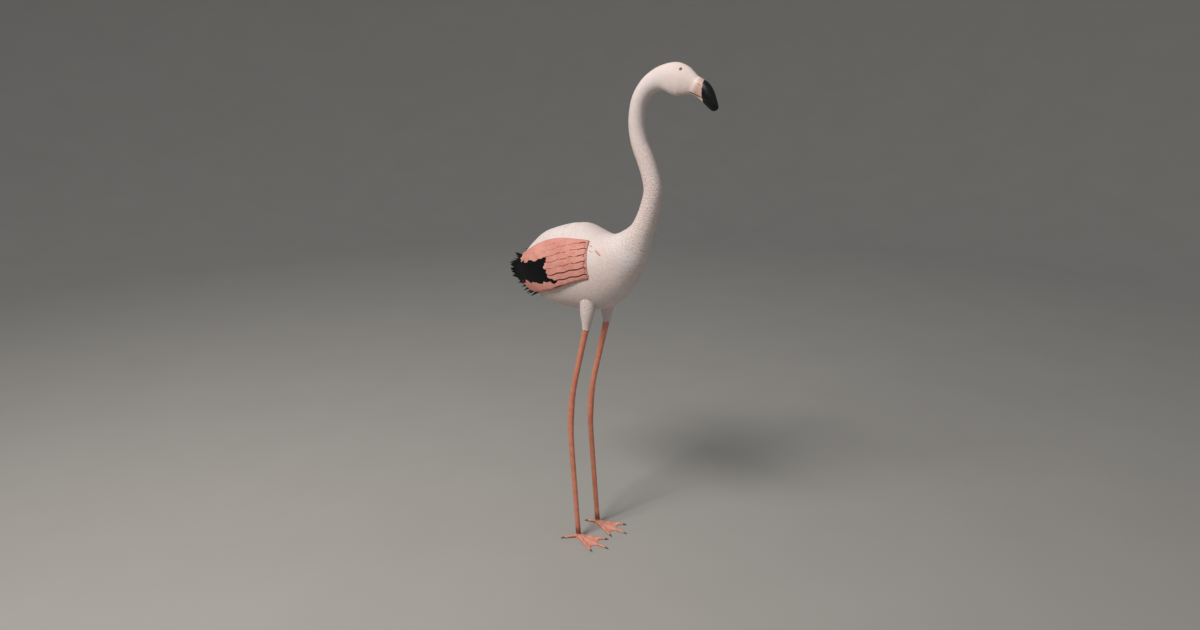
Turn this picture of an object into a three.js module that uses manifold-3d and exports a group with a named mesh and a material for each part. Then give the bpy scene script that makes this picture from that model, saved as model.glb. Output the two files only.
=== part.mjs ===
// A greater flamingo, life size, standing on both feet with its neck raised. It is a still model.
// Millimetres, +Z up. The bird faces -Y and its left side is at +X. The floor is z = 0.
// The origin is on the floor under the middle of the bounding box.
// Every shape is worked out in the bird's own frame, where y = 0 is over the feet.

import * as THREE from "three";
import { mergeVertices } from "three/addons/utils/BufferGeometryUtils.js";
import Module from "manifold-3d";

const wasm = await Module();
wasm.setup();

// ---------------------------------------------------------------- driving dimensions

const FEET_Y = 66; // how far the feet stand behind the middle of the bounding box
const GAP = 0.4; // clearance between neighbouring pieces
const FEET_APART = 102; // between the two feet, centre to centre

// The body's centre line runs from the tail's root through trunk, neck and head to the bill's base.
// Each row: y, z, half width, reach towards the back, reach towards the belly.
const BODY = [
  [223, 856, 19, 13, 26],
  [207, 861, 37, 28, 73],
  [177, 866, 54, 55, 109],
  [137, 869, 69, 86, 127],
  [92, 870, 82, 104, 131],
  [42, 870, 89, 118, 132],
  [-10, 871, 91, 122, 130],
  [-56, 879, 88, 111, 126],
  [-96, 895, 79, 91, 105],
  [-131, 919, 65, 65, 79],
  [-161, 949, 48, 47, 59],
  [-188, 984, 35, 34.5, 37],
  [-205, 1021, 29.4, 29.8, 29.8],
  [-217, 1061, 26.6, 27.2, 27],
  [-223, 1100, 25.1, 25.7, 25.6],
  [-214, 1139, 24.1, 24.6, 24.5],
  [-198, 1179, 23.6, 24.1, 23.9],
  [-180, 1217, 22.8, 23.3, 23],
  [-170, 1257, 22.1, 22.5, 22.4],
  [-170, 1296, 21.8, 22.4, 22.2],
  [-179, 1331, 22, 23, 22.6],
  [-201, 1361, 22.8, 24.8, 24.2],
  [-229, 1378, 24, 28.4, 28],
  [-256, 1386, 25, 31, 39],
  [-282, 1386, 25.6, 34.6, 45],
  [-305, 1380, 23.4, 32.8, 43],
  [-323, 1372.6, 19, 26.8, 34],
  [-337, 1366.2, 15.4, 22, 25],
];
const TRUNK_END = 10.35; // places along BODY's rows where one named part ends and the next begins
const NECK_LOWER_END = 14;
const NECK_MIDDLE_END = 18;
const NECK_UPPER_END = 22.2;
const TRUNK_MESH = { rings: 18, sides: 22 };
const NECK_SIDES = 16; // corners of one ring round the neck and the head

const EYE = { x: 13, y: -304.4, z: 1400.4, radius: 7 };

// The bill bends in its middle, to the tip angle in degrees below the horizontal.
const BILL = {
  length: 88.5,
  tipAngle: 59,
  bendFrom: 0.1,
  bendTo: 0.76,
  // Each row: share of the length, reach to the ridge, reach to the keel, half width, mouth line's height.
  rows: [
    [0, 21.9, 24.9, 15.3, -19],
    [0.15, 21.9, 23.6, 14.8, -18.2],
    [0.3, 21.8, 23.2, 14.4, -17],
    [0.45, 19.4, 22.8, 14.1, -13.6],
    [0.6, 16, 21, 13.4, -8.6],
    [0.75, 12.9, 17.8, 12.1, -4.6],
    [0.88, 10.7, 13.4, 10.1, -2],
    [0.96, 8.6, 9.6, 7.7, -0.6],
    [1, 4.6, 4.8, 4, 0],
  ],
  rings: 15,
  arc: 9, // corners along one jaw's arch
};

const TAIL = {
  vanes: 5,
  root: [0, 206, 856],
  length: 66,
  drop: 20,
  fanDegrees: 13,
  spread: 22,
  halfWidth: 11,
  halfThickness: 2.4,
};

// The folded wing is a curved shell over an oval round the trunk.
// Each row: y, height of the oval's centre, half width, reach up, reach down,
// top edge and lower edge in degrees from the oval's top, thickness.
const WING = [
  [-74, 875, 88, 101, 119, 43, 100, 4],
  [-56, 876, 93, 109.5, 120, 42, 103, 8],
  [-10, 873, 100, 121, 125, 44.5, 109.5, 12],
  [42, 870, 101, 119, 129, 44, 119, 13],
  [92, 869, 94, 106, 130, 45.5, 128, 12],
  [137, 866, 82, 91, 124, 51, 137, 11],
  [177, 861, 67, 75, 110, 59, 144, 9],
  [207, 856, 51, 58, 92, 63, 149, 7],
  [232, 849, 38, 44, 74, 66, 149, 5],
  [252, 840, 28, 30, 50, 62, 143, 3],
];
const WING_LEAN = 17; // how far the front edge leans back towards its top, fading out over the reach behind it
const WING_LEAN_REACH = 90;
const WING_MESH = { rings: 13, corners: 7 }; // corners across one face of the shell

// The dark flight feathers show in a wedge that opens towards the tail, between pink feathers.
// Corners are y, z.
const WEDGE = [
  [60, 907],
  [94, 895],
  [145, 880],
  [207, 862],
  [218, 930],
  [320, 930],
  [320, 700],
  [228, 700],
  [216, 796],
  [148, 815],
  [85, 822],
  [26, 834],
  [26, 841],
  [52, 850],
  [76, 867],
];
// Tips of the flight feathers, from the highest to the lowest: share, x, y, z.
const FLIGHT_TIPS = [
  [0, 20, 258, 883],
  [0.35, 22, 262, 848],
  [0.6, 16, 265, 808],
  [0.8, 19, 229, 772],
  [1, 34, 176, 755],
];
const FLIGHT_TIP_COUNT = 6;

// Joints of the left leg. Knee and feather end are where the drumstick starts and stops.
// The bare leg runs straight from the feather end towards the hock and from there to the toes,
// with its corner rounded over the bend's reach.
const KNEE = { x: 48, y: -43, z: 786 };
const FEATHER_END = { x: 51.5, y: -38, z: 698 };
const HOCK = { x: 50, y: 30, z: 426 };
const TOE_JOINT = { x: FEET_APART / 2, y: -3, z: 12 };
const HOCK_BEND = 112;

// Where the bare leg's named parts end, and its radii: share of the way down, across, fore and aft.
const LEG = {
  shankEnd: 0.36,
  hockEnd: 0.49,
  tarsusEnd: 0.962,
  rows: [
    [0, 9, 10],
    [0.08, 8.2, 9],
    [0.22, 7.8, 8.6],
    [0.33, 8.1, 9],
    [0.42, 8.9, 10.2],
    [0.5, 8, 9.1],
    [0.6, 7.4, 8.3],
    [0.8, 7.2, 8],
    [0.93, 7.2, 7.8],
    [1, 8, 8.6],
  ],
};

const TOES = [
  // name, degrees outwards from straight ahead, length to the claw's root
  ["inner", -26, 86],
  ["middle", 0, 106],
  ["outer", 27, 86],
];
const TOE = { rootRadius: 5.6, tipRadius: 3.3, sink: 0.7, padSwell: 0.7, pads: 3, rootLift: 2.5 };
const CLAW = { length: 11, radius: 2.7, tip: 0.9 };
const WEB = { thickness: 1.8, floor: 0.8, reach: 0.84, notch: 0.3 };
// Degrees that each hind toe turns from straight back towards the bird's right.
const HALLUX = { start: 9, z: 6.5, radius: 3.8, drop: 2.5 };
const HALLUX_TURN = { left: 18, right: 44 };
const HALLUX_LENGTH = { left: 24, right: 36 };

// ---------------------------------------------------------------- tools

const V = (x, y, z) => new THREE.Vector3(x, y, z);
const rad = THREE.MathUtils.degToRad;
const mix = THREE.MathUtils.lerp;
const range = (n) => Array.from({ length: n }, (_, i) => i);

// Smooth values through rows of numbers. Places run from 0 at the first row to rows.length - 1 at the last.
function through(rows) {
  const last = rows.length - 1;
  const row = (i) => rows[Math.min(Math.max(i, 0), last)];
  return (at) => {
    const i = Math.min(Math.floor(at), last - 1);
    const t = at - i;
    return rows[0].map((_, k) => {
      const [a, b, c, d] = [row(i - 1)[k], row(i)[k], row(i + 1)[k], row(i + 2)[k]];
      return (
        b + 0.5 * t * (c - a + t * (2 * a - 5 * b + 4 * c - d + t * (3 * (b - c) + d - a)))
      );
    });
  };
}

// Smooth values through rows whose first number is the key to look up.
function keyed(rows) {
  const smooth = through(rows);
  return (key) => {
    let [low, high] = [0, rows.length - 1];
    const rising = rows[high][0] > rows[0][0];
    for (const _ of range(30)) {
      const middle = (low + high) / 2;
      if (smooth(middle)[0] < key === rising) low = middle;
      else high = middle;
    }
    return smooth((low + high) / 2);
  };
}

// The volume inside a closed set of triangles, negative when they face inwards.
function volumeWithin(points, index) {
  let volume = 0;
  for (let i = 0; i < index.length; i += 3) {
    const [a, b, c] = [points[index[i]], points[index[i + 1]], points[index[i + 2]]];
    volume += a.dot(b.clone().cross(c)) / 6;
  }
  return volume;
}

// A closed geometry through a row of rings of points. Each end is closed by a strip across its ring.
function loft(rings) {
  const n = rings[0].length;
  const points = rings.flat();
  const index = [];
  for (const r of range(rings.length - 1))
    for (const i of range(n)) {
      const [a, b] = [r * n + i, r * n + ((i + 1) % n)];
      index.push(a, b, b + n, a, b + n, a + n);
    }
  const end = (rings.length - 1) * n;
  const triangle = (a, b, c) => {
    index.push(a, c, b);
    index.push(end + a, end + b, end + c);
  };
  for (const i of range(Math.floor((n - 1) / 2))) {
    const [across, back] = [n - 2 - i, n - 1 - i];
    if (i + 1 < across) triangle(i, i + 1, across);
    triangle(i, across, back);
  }
  if (volumeWithin(points, index) < 0) index.reverse();
  const g = new THREE.BufferGeometry().setFromPoints(points);
  g.setIndex(index);
  return g;
}

// A geometry as a solid that can be joined and cut.
function solid(g) {
  const bare = g.clone();
  bare.deleteAttribute("normal");
  bare.deleteAttribute("uv");
  const merged = mergeVertices(bare, 1e-4);
  const vertProperties = merged.attributes.position.array;
  const triVerts = new Uint32Array(merged.index.array);
  return new wasm.Manifold(new wasm.Mesh({ numProp: 3, vertProperties, triVerts }));
}

function geometry(made) {
  const mesh = made.getMesh();
  const g = new THREE.BufferGeometry();
  g.setAttribute("position", new THREE.BufferAttribute(mesh.vertProperties, 3));
  g.setIndex(new THREE.BufferAttribute(mesh.triVerts, 1));
  return g;
}

const joined = (solids) => solids.reduce((a, b) => a.add(b));

// A slab whose outline lies in the YZ plane, from x = low to x = high.
function slab(outline, low, high) {
  const shape = new THREE.Shape(outline.map(([y, z]) => new THREE.Vector2(y, z)));
  const g = new THREE.ExtrudeGeometry(shape, { depth: high - low, bevelEnabled: false });
  // The shape's x becomes y, its y becomes z, and the depth becomes x.
  g.applyMatrix4(new THREE.Matrix4().makeBasis(V(0, 1, 0), V(0, 0, 1), V(1, 0, 0)));
  return solid(g.translate(low, 0, 0));
}

// An outline made larger by margin, each corner moved away from the outline's middle line.
function wider(outline, margin) {
  const n = outline.length;
  return outline.map(([y, z], i) => {
    const [before, after] = [outline[(i + n - 1) % n], outline[(i + 1) % n]];
    const along = new THREE.Vector2(after[0] - before[0], after[1] - before[1]).normalize();
    return [y - along.y * margin, z + along.x * margin];
  });
}

// A round tube through stations {at: point, out: radius across, up: radius in the YZ plane}.
// A station may also name the direction its ring faces, so that it lies flat against a neighbour's end.
function tube(stations, sides) {
  const centres = stations.map((s) => s.at);
  return loft(
    stations.map((s, i) => {
      const next = centres[Math.min(i + 1, centres.length - 1)];
      const before = centres[Math.max(i - 1, 0)];
      const along = s.along ?? next.clone().sub(before).normalize();
      const across = V(1, 0, 0).addScaledVector(along, -along.x).normalize();
      const third = along.clone().cross(across);
      return range(sides).map((k) => {
        const a = (2 * Math.PI * k) / sides;
        return s.at
          .clone()
          .addScaledVector(across, Math.cos(a) * s.out)
          .addScaledVector(third, Math.sin(a) * s.up);
      });
    }),
  );
}

// A feather's vane: a thin leaf from root to tip, whose flat side faces along face.
function vane(root, tip, face, halfWidth, halfThickness) {
  const along = tip.clone().sub(root).normalize();
  const across = along.clone().cross(face).normalize();
  const normal = across.clone().cross(along);
  const widths = [0.6, 1, 0.9, 0.15];
  const places = [0, 0.35, 0.85, 1];
  const corners = 6;
  return solid(
    loft(
      places.map((t, i) =>
        range(corners).map((k) => {
          const a = (2 * Math.PI * k) / corners;
          const thin = halfThickness * mix(1, 0.35, t);
          return root
            .clone()
            .lerp(tip, t)
            .addScaledVector(across, Math.cos(a) * widths[i] * halfWidth)
            .addScaledVector(normal, Math.sin(a) * thin);
        }),
      ),
    ),
  );
}

// ---------------------------------------------------------------- trunk, neck and head

const bodyAt = through(BODY);

const HEAD_END = BODY.length - 1;

// The direction of the centre line.
function bodyAlong(at) {
  const step = 0.01;
  const [y0, z0] = bodyAt(Math.max(at - step, 0));
  const [y1, z1] = bodyAt(Math.min(at + step, HEAD_END));
  return V(0, y1 - y0, z1 - z0).normalize();
}

// One ring round the body's centre line. Angles start at the back and go towards the left side.
function bodyRing(at, sides, grow = 0) {
  const [y, z, half, back, belly] = bodyAt(at);
  const along = bodyAlong(at);
  const up = V(0, along.z, -along.y);
  return range(sides).map((i) => {
    const a = (2 * Math.PI * i) / sides;
    const reach = (Math.cos(a) > 0 ? back : belly) + grow;
    return V((half + grow) * Math.sin(a), y, z).addScaledVector(up, reach * Math.cos(a));
  });
}

// The body between two places, with half a gap left at each end that has a neighbour.
function bodyPart(from, to, rings, sides, grow = 0) {
  const length = (a, b) => Math.hypot(bodyAt(a)[0] - bodyAt(b)[0], bodyAt(a)[1] - bodyAt(b)[1]);
  const trim = (at) => GAP / 2 / (length(at - 0.05, at + 0.05) / 0.1);
  const low = from === 0 ? 0 : from + trim(from);
  const high = to === HEAD_END ? to : to - trim(to);
  return loft(range(rings + 1).map((i) => bodyRing(mix(low, high, i / rings), sides, grow)));
}

const { rings, sides } = TRUNK_MESH;
const trunkGeometry = bodyPart(0, TRUNK_END, rings, sides);
const roomForTrunk = solid(bodyPart(0, TRUNK_END, rings, sides, GAP));

function eyeball(side, grow = 0) {
  return new THREE.SphereGeometry(EYE.radius + grow, 10, 6)
    .rotateZ(Math.PI / 2)
    .translate(side * EYE.x, EYE.y, EYE.z);
}

function headGeometry() {
  const whole = solid(bodyPart(NECK_UPPER_END, HEAD_END, 12, NECK_SIDES));
  const sockets = [-1, 1].map((side) => solid(eyeball(side, GAP)));
  return geometry(sockets.reduce((head, socket) => head.subtract(socket), whole));
}

// ---------------------------------------------------------------- bill

const billAt = keyed(BILL.rows);

// The centre line's points and directions, one for each ring.
function billLine() {
  const [y, z] = bodyAt(HEAD_END);
  const at = V(0, y, z);
  const base = bodyAlong(HEAD_END);
  const baseAngle = THREE.MathUtils.radToDeg(Math.atan2(base.z, -base.y)) * -1;
  const steps = 10;
  return range(BILL.rings + 1).map((i) => {
    const share = i / BILL.rings;
    const angleAt = (s) =>
      rad(mix(baseAngle, BILL.tipAngle, THREE.MathUtils.smoothstep(s, BILL.bendFrom, BILL.bendTo)));
    const along = V(0, -Math.cos(angleAt(share)), -Math.sin(angleAt(share)));
    const point = at.clone().addScaledVector(along, i === 0 ? GAP : 0);
    for (const k of range(steps)) {
      const a = angleAt(share + (k + 0.5) / steps / BILL.rings);
      at.addScaledVector(V(0, -Math.cos(a), -Math.sin(a)), BILL.length / BILL.rings / steps);
    }
    return { share, point, along, up: V(0, along.z, -along.y) };
  });
}

// One jaw: sign is 1 for the upper and -1 for the lower. Both are cut from one oval at the mouth line.
function jaw(sign) {
  return loft(
    billLine().map(({ share, point, up }) => {
      const [, ridge, keel, half, mouth] = billAt(share);
      const [middle, reach] = [(ridge - keel) / 2, (ridge + keel) / 2];
      const start = Math.asin((mouth + (sign * GAP) / 2 - middle) / reach);
      const sweep = sign > 0 ? Math.PI - 2 * start : -Math.PI - 2 * start;
      return range(BILL.arc).map((k) => {
        const a = start + (sweep * k) / (BILL.arc - 1);
        return point
          .clone()
          .addScaledVector(up, middle + reach * Math.sin(a))
          .addScaledVector(V(1, 0, 0), half * Math.cos(a));
      });
    }),
  );
}

// ---------------------------------------------------------------- tail and wings

function tailGeometry() {
  const root = V(...TAIL.root);
  const vanes = range(TAIL.vanes).map((i) => {
    const share = (2 * i) / (TAIL.vanes - 1) - 1;
    const turn = rad(TAIL.fanDegrees * share);
    const start = root.clone().add(V((TAIL.spread / 2) * share, 0, 0));
    const length = TAIL.length * (1 - 0.1 * share * share);
    const tip = start
      .clone()
      .add(V(length * Math.sin(turn), length * Math.cos(turn), -TAIL.drop - 3 * share * share));
    return vane(start, tip, V(0, 0.3, 1), TAIL.halfWidth, TAIL.halfThickness);
  });
  return joined(vanes).subtract(roomForTrunk);
}

const wingAt = keyed(WING);

// A point of the left wing's outer face, or of its inner face with depth 1.
// Across runs from 0 at the top edge to 1 at the lower one.
function wingPoint(upright, across, depth = 0) {
  const front = WING[0][0];
  const fade = 1 - THREE.MathUtils.smoothstep(upright, front, front + WING_LEAN_REACH);
  const y = upright + WING_LEAN * (1 - across) * fade;
  const [, z, half, up, down, top, low, thick] = wingAt(y);
  const a = rad(mix(top, low, across));
  const inwards = depth * thick * mix(0.35, 1, Math.sin(Math.PI * across));
  const reach = (Math.cos(a) > 0 ? up : down) - inwards;
  return V((half - inwards) * Math.sin(a), y, z + reach * Math.cos(a));
}

// The folded left wing as one solid: its shell, with the tips of the flight feathers standing out behind it.
function wholeWing() {
  const [front, rear] = [WING[0][0], WING.at(-1)[0]];
  const shell = loft(
    range(WING_MESH.rings + 1).map((i) => {
      const y = mix(front, rear, i / WING_MESH.rings);
      const shares = range(WING_MESH.corners).map((k) => k / (WING_MESH.corners - 1));
      const outer = shares.map((share) => wingPoint(y, share));
      const inner = shares.map((share) => wingPoint(y, 1 - share, 1));
      return [...outer, ...inner];
    }),
  );
  const tipAt = keyed(FLIGHT_TIPS);
  const tips = range(FLIGHT_TIP_COUNT).map((i) => {
    const [share, x, y, z] = tipAt(i / (FLIGHT_TIP_COUNT - 1));
    const tip = V(x, y, z);
    const root = wingPoint(y - 70, mix(0.25, 0.92, share), 0.5);
    return vane(root, tip, V(1, 0.25, 0), 8.5, 2);
  });
  return joined([solid(shell), ...tips]).subtract(roomForTrunk);
}

const FAR = 400;
const aboveTertials = [
  [60, 907],
  [48, 1100],
  [FAR, 1100],
  [FAR, 850],
  [207, 850],
];

// The left wing's named pieces, parted from the whole wing by thin cuts.
function wingPieces(tail) {
  const whole = wholeWing().subtract(tail.room);
  const cut = (outline) => slab(outline, 0, FAR);
  const flight = whole.intersect(cut(WEDGE));
  const pink = whole.subtract(cut(wider(WEDGE, GAP)));
  const tertials = pink.intersect(cut(aboveTertials));
  const arm = pink.subtract(cut(wider(aboveTertials, GAP)));
  return { wing: largest(arm), flight_feathers: largest(flight), tertials: largest(tertials) };
}

// A cut can leave crumbs: this keeps the largest body.
function largest(made) {
  const bodies = made.decompose();
  return bodies.reduce((a, b) => (b.volume() > a.volume() ? b : a));
}

// ---------------------------------------------------------------- legs and feet (left side)

const jointAt = ({ x, y, z }) => V(x, y, z);

function stationsBetween(from, to, rows) {
  return rows.map(([share, out, up]) => ({ at: from.clone().lerp(to, share), out, up }));
}

// The feathered drumstick, from inside the trunk's underside down to the bare shank.
function thighGeometry() {
  const rows = [
    [-0.25, 9, 11],
    [-0.12, 16.5, 21],
    [0, 18.4, 24],
    [0.14, 18.9, 24.6],
    [0.3, 18.6, 24],
    [0.48, 17.7, 22],
    [0.66, 15.8, 18.6],
    [0.83, 13, 14.8],
    [1, 10.6, 11.7],
  ];
  const stations = stationsBetween(jointAt(KNEE), jointAt(FEATHER_END), rows);
  stations.at(-1).along = legPath().getTangentAt(0);
  return geometry(largest(solid(tube(stations, 14)).subtract(roomForTrunk)));
}

// The bare leg's centre line, from the feather end to the toes.
function legPath() {
  const [end, hock, toes] = [FEATHER_END, HOCK, TOE_JOINT].map(jointAt);
  const above = hock.clone().lerp(end, HOCK_BEND / hock.distanceTo(end));
  const below = hock.clone().lerp(toes, HOCK_BEND / hock.distanceTo(toes));
  const path = new THREE.CurvePath();
  path.add(new THREE.LineCurve3(end, above));
  path.add(new THREE.QuadraticBezierCurve3(above, hock, below));
  path.add(new THREE.LineCurve3(below, toes));
  return path;
}

// One part of the bare leg between two shares of its path, with half a gap left at each end.
function legPart(from, to, rings, corners) {
  const path = legPath();
  const radii = keyed(LEG.rows);
  const trim = GAP / 2 / path.getLength();
  const stations = range(rings + 1).map((i) => {
    const share = mix(from + trim, to - trim, i / rings);
    const [, out, up] = radii(share);
    const [at, along] = [path.getPointAt(share), path.getTangentAt(share)];
    return { at, along, out, up };
  });
  return tube(stations, corners);
}

const toeDirection = (degrees) => V(Math.sin(rad(degrees)), -Math.cos(rad(degrees)), 0);
const ankleOnFloor = V(TOE_JOINT.x, TOE_JOINT.y, 0);
const floorCut = slab(
  [
    [-FAR, -50],
    [FAR, -50],
    [FAR, 0],
    [-FAR, 0],
  ],
  -FAR,
  FAR,
);

// One toe lies on the floor from the foot's middle to the root of its claw, with a swelling at each pad.
function toe(degrees, length) {
  const along = toeDirection(degrees);
  const rings = 2 * TOE.pads + 1;
  const stations = range(rings).map((i) => {
    const t = i / (rings - 1);
    const swell = i % 2 ? TOE.padSwell : -TOE.padSwell;
    const radius = mix(TOE.rootRadius, TOE.tipRadius, t) + swell;
    const lift = TOE.rootLift * Math.max(0, 1 - t / 0.25) ** 2;
    const at = ankleOnFloor.clone().addScaledVector(along, length * t);
    at.z = radius - TOE.sink + lift;
    return { at, radius };
  });
  const across = V(0, 0, 1).cross(along);
  const sides = 8;
  return solid(
    loft(
      stations.map(({ at, radius }) =>
        range(sides).map((k) => {
          const a = (2 * Math.PI * (k + 0.5)) / sides;
          return at
            .clone()
            .addScaledVector(across, Math.cos(a) * radius * 1.12)
            .add(V(0, 0, Math.sin(a) * radius));
        }),
      ),
    ),
  );
}

// The web between two neighbouring toes: a thin sheet whose front edge is hollow.
function web([, degreesA, lengthA], [, degreesB, lengthB]) {
  const tipA = ankleOnFloor.clone().addScaledVector(toeDirection(degreesA), lengthA * WEB.reach);
  const tipB = ankleOnFloor.clone().addScaledVector(toeDirection(degreesB), lengthB * WEB.reach);
  const hollow = tipA.clone().lerp(tipB, 0.5).lerp(ankleOnFloor, WEB.notch);
  const edge = new THREE.QuadraticBezierCurve(
    new THREE.Vector2(tipA.x, tipA.y),
    new THREE.Vector2(hollow.x, hollow.y),
    new THREE.Vector2(tipB.x, tipB.y),
  ).getPoints(4);
  const shape = new THREE.Shape([new THREE.Vector2(ankleOnFloor.x, ankleOnFloor.y), ...edge]);
  const g = new THREE.ExtrudeGeometry(shape, { depth: WEB.thickness, bevelEnabled: false });
  return solid(g.translate(0, 0, WEB.floor));
}

function footGeometry() {
  const path = legPath();
  const toes = jointAt(TOE_JOINT);
  const from = LEG.tarsusEnd + GAP / 2 / path.getLength();
  const knuckle = solid(
    tube(
      [
        { at: path.getPointAt(from), along: path.getTangentAt(from), out: 7.4, up: 8 },
        { at: toes.clone().add(V(0, 0.2, 4)), out: 7.7, up: 8.1 },
        { at: toes.clone().add(V(0, -2, -4)), out: 9, up: 9.4 },
        { at: V(ankleOnFloor.x, ankleOnFloor.y - 5, -3), out: 10.5, up: 11.5 },
      ],
      10,
    ),
  );
  const digits = TOES.map(([, degrees, length]) => toe(degrees, length));
  const webs = [web(TOES[0], TOES[1]), web(TOES[1], TOES[2])];
  return geometry(joined([knuckle, ...digits, ...webs]).subtract(floorCut));
}

// A claw leaves the toe's end and curves down to the floor.
function claw(start, along, radius) {
  const end = start.clone().addScaledVector(along, CLAW.length);
  const rows = [0, 0.35, 0.7, 1];
  const across = V(0, 0, 1).cross(along).normalize();
  return loft(
    rows.map((t) => {
      const size = mix(radius, CLAW.tip, t);
      const at = start.clone().lerp(end, t);
      at.z = mix(start.z, CLAW.tip + 0.1, t ** 1.5);
      return range(6).map((k) => {
        const a = (2 * Math.PI * k) / 6;
        return at
          .clone()
          .addScaledVector(across, Math.cos(a) * size)
          .add(V(0, 0, Math.sin(a) * size));
      });
    }),
  );
}

function toeClaw([, degrees, length]) {
  const along = toeDirection(degrees);
  const start = ankleOnFloor.clone().addScaledVector(along, length + GAP);
  start.z = CLAW.radius + 0.4;
  return claw(start, along, CLAW.radius);
}

// The small hind toe sits a little above the floor behind the foot. Side is 1 on the left and -1 on the right.
const halluxLine = (side) => {
  const name = side > 0 ? "left" : "right";
  const turn = rad(HALLUX_TURN[name]);
  const along = V(-Math.sin(turn), Math.cos(turn), 0);
  const start = V(side * TOE_JOINT.x, TOE_JOINT.y, HALLUX.z).addScaledVector(along, HALLUX.start);
  const end = start.clone().addScaledVector(along, HALLUX_LENGTH[name]).add(V(0, 0, -HALLUX.drop));
  return { start, end, along };
};

function halluxGeometry(side) {
  const { start, end } = halluxLine(side);
  const rows = [
    [0, HALLUX.radius * 1.15, HALLUX.radius * 1.15],
    [0.35, HALLUX.radius, HALLUX.radius],
    [0.8, HALLUX.radius * 0.95, HALLUX.radius * 0.95],
    [1, HALLUX.radius * 0.8, HALLUX.radius * 0.8],
  ];
  return tube(stationsBetween(start, end, rows), 10);
}

function halluxClaw(side) {
  const { end, along } = halluxLine(side);
  const start = end.clone().addScaledVector(along, 3 * GAP);
  return claw(start, along, HALLUX.radius * 0.75);
}

// ---------------------------------------------------------------- materials

const material = (color, roughness, metalness = 0) =>
  new THREE.MeshStandardMaterial({ color, roughness, metalness });
const whitePlumage = material(0xe8d5ce, 0.85);
const pinkPlumage = material(0xd98577, 0.8);
const blackPlumage = material(0x16181a, 0.6);
const legSkin = material(0xc97663, 0.55);
const footSkin = material(0xe09483, 0.6);
const billPink = material(0xe3b5a6, 0.4);
const horn = material(0x14181a, 0.3);
const iris = material(0xe8cf7a, 0.1);

// ---------------------------------------------------------------- assembly

const bird = new THREE.Group();
bird.position.set(0, FEET_Y, 0);

function add(name, g, look) {
  const mesh = new THREE.Mesh(g, look);
  mesh.name = name;
  bird.add(mesh);
}

// The same piece on the bird's left, as modelled, and mirrored on its right.
function addPair(name, g, look) {
  add(`${name}_left`, g, look);
  add(`${name}_right`, geometry(solid(g).mirror([1, 0, 0])), look);
}

add("trunk", trunkGeometry, whitePlumage);
add("neck_lower", bodyPart(TRUNK_END, NECK_LOWER_END, 7, NECK_SIDES), whitePlumage);
add("neck_middle", bodyPart(NECK_LOWER_END, NECK_MIDDLE_END, 7, NECK_SIDES), whitePlumage);
add("neck_upper", bodyPart(NECK_MIDDLE_END, NECK_UPPER_END, 8, NECK_SIDES), whitePlumage);
add("head", headGeometry(), whitePlumage);
addPair("eye", eyeball(1), iris);
add("bill_upper", jaw(1), billPink);
add("bill_lower", jaw(-1), horn);

const tail = tailGeometry();
add("tail", geometry(tail), whitePlumage);
const tailRoom = joined(
  [-GAP, GAP].flatMap((d) => [tail.translate([d, 0, 0]), tail.translate([0, 0, d])]),
);
const wingLooks = { wing: pinkPlumage, flight_feathers: blackPlumage, tertials: pinkPlumage };
for (const [name, piece] of Object.entries(wingPieces({ room: tailRoom })))
  addPair(name, geometry(piece), wingLooks[name]);

addPair("thigh", thighGeometry(), whitePlumage);
addPair("shank", legPart(0, LEG.shankEnd, 5, 10), legSkin);
addPair("hock", legPart(LEG.shankEnd, LEG.hockEnd, 6, 12), legSkin);
addPair("tarsus", legPart(LEG.hockEnd, LEG.tarsusEnd, 6, 10), legSkin);
addPair("foot", footGeometry(), footSkin);
for (const row of TOES) addPair(`claw_${row[0]}`, toeClaw(row), horn);
for (const [name, side] of [["left", 1], ["right", -1]]) {
  add(`hallux_${name}`, halluxGeometry(side), footSkin);
  add(`claw_hallux_${name}`, halluxClaw(side), horn);
}

export default bird;
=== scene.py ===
"""A life-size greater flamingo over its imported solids: skin, feathers, bill, eyes, legs and feet.

Lengths are millimetres in the feet's frame (+X the bird's left, +Y its tail, +Z up) until
place() turns them into metres of the part's frame.
"""

import math

import bpy
import numpy as np
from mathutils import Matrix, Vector


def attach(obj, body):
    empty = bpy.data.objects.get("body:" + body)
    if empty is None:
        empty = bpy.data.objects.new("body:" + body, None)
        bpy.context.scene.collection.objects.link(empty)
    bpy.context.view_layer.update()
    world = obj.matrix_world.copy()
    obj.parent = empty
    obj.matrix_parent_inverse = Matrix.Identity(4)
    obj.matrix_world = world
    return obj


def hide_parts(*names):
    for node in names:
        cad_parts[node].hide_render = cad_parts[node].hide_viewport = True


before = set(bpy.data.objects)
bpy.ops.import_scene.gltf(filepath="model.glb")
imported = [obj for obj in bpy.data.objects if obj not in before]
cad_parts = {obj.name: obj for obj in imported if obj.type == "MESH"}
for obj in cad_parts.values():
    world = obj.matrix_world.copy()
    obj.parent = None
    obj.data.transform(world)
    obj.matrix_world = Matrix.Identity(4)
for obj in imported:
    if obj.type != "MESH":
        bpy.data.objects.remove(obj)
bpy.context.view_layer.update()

# ---------------------------------------------------------------- sizes

MM = 0.001
FEET_Y = 66.0  # where the feet's frame starts in the part's
FULL_TURN = 2 * math.pi

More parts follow.
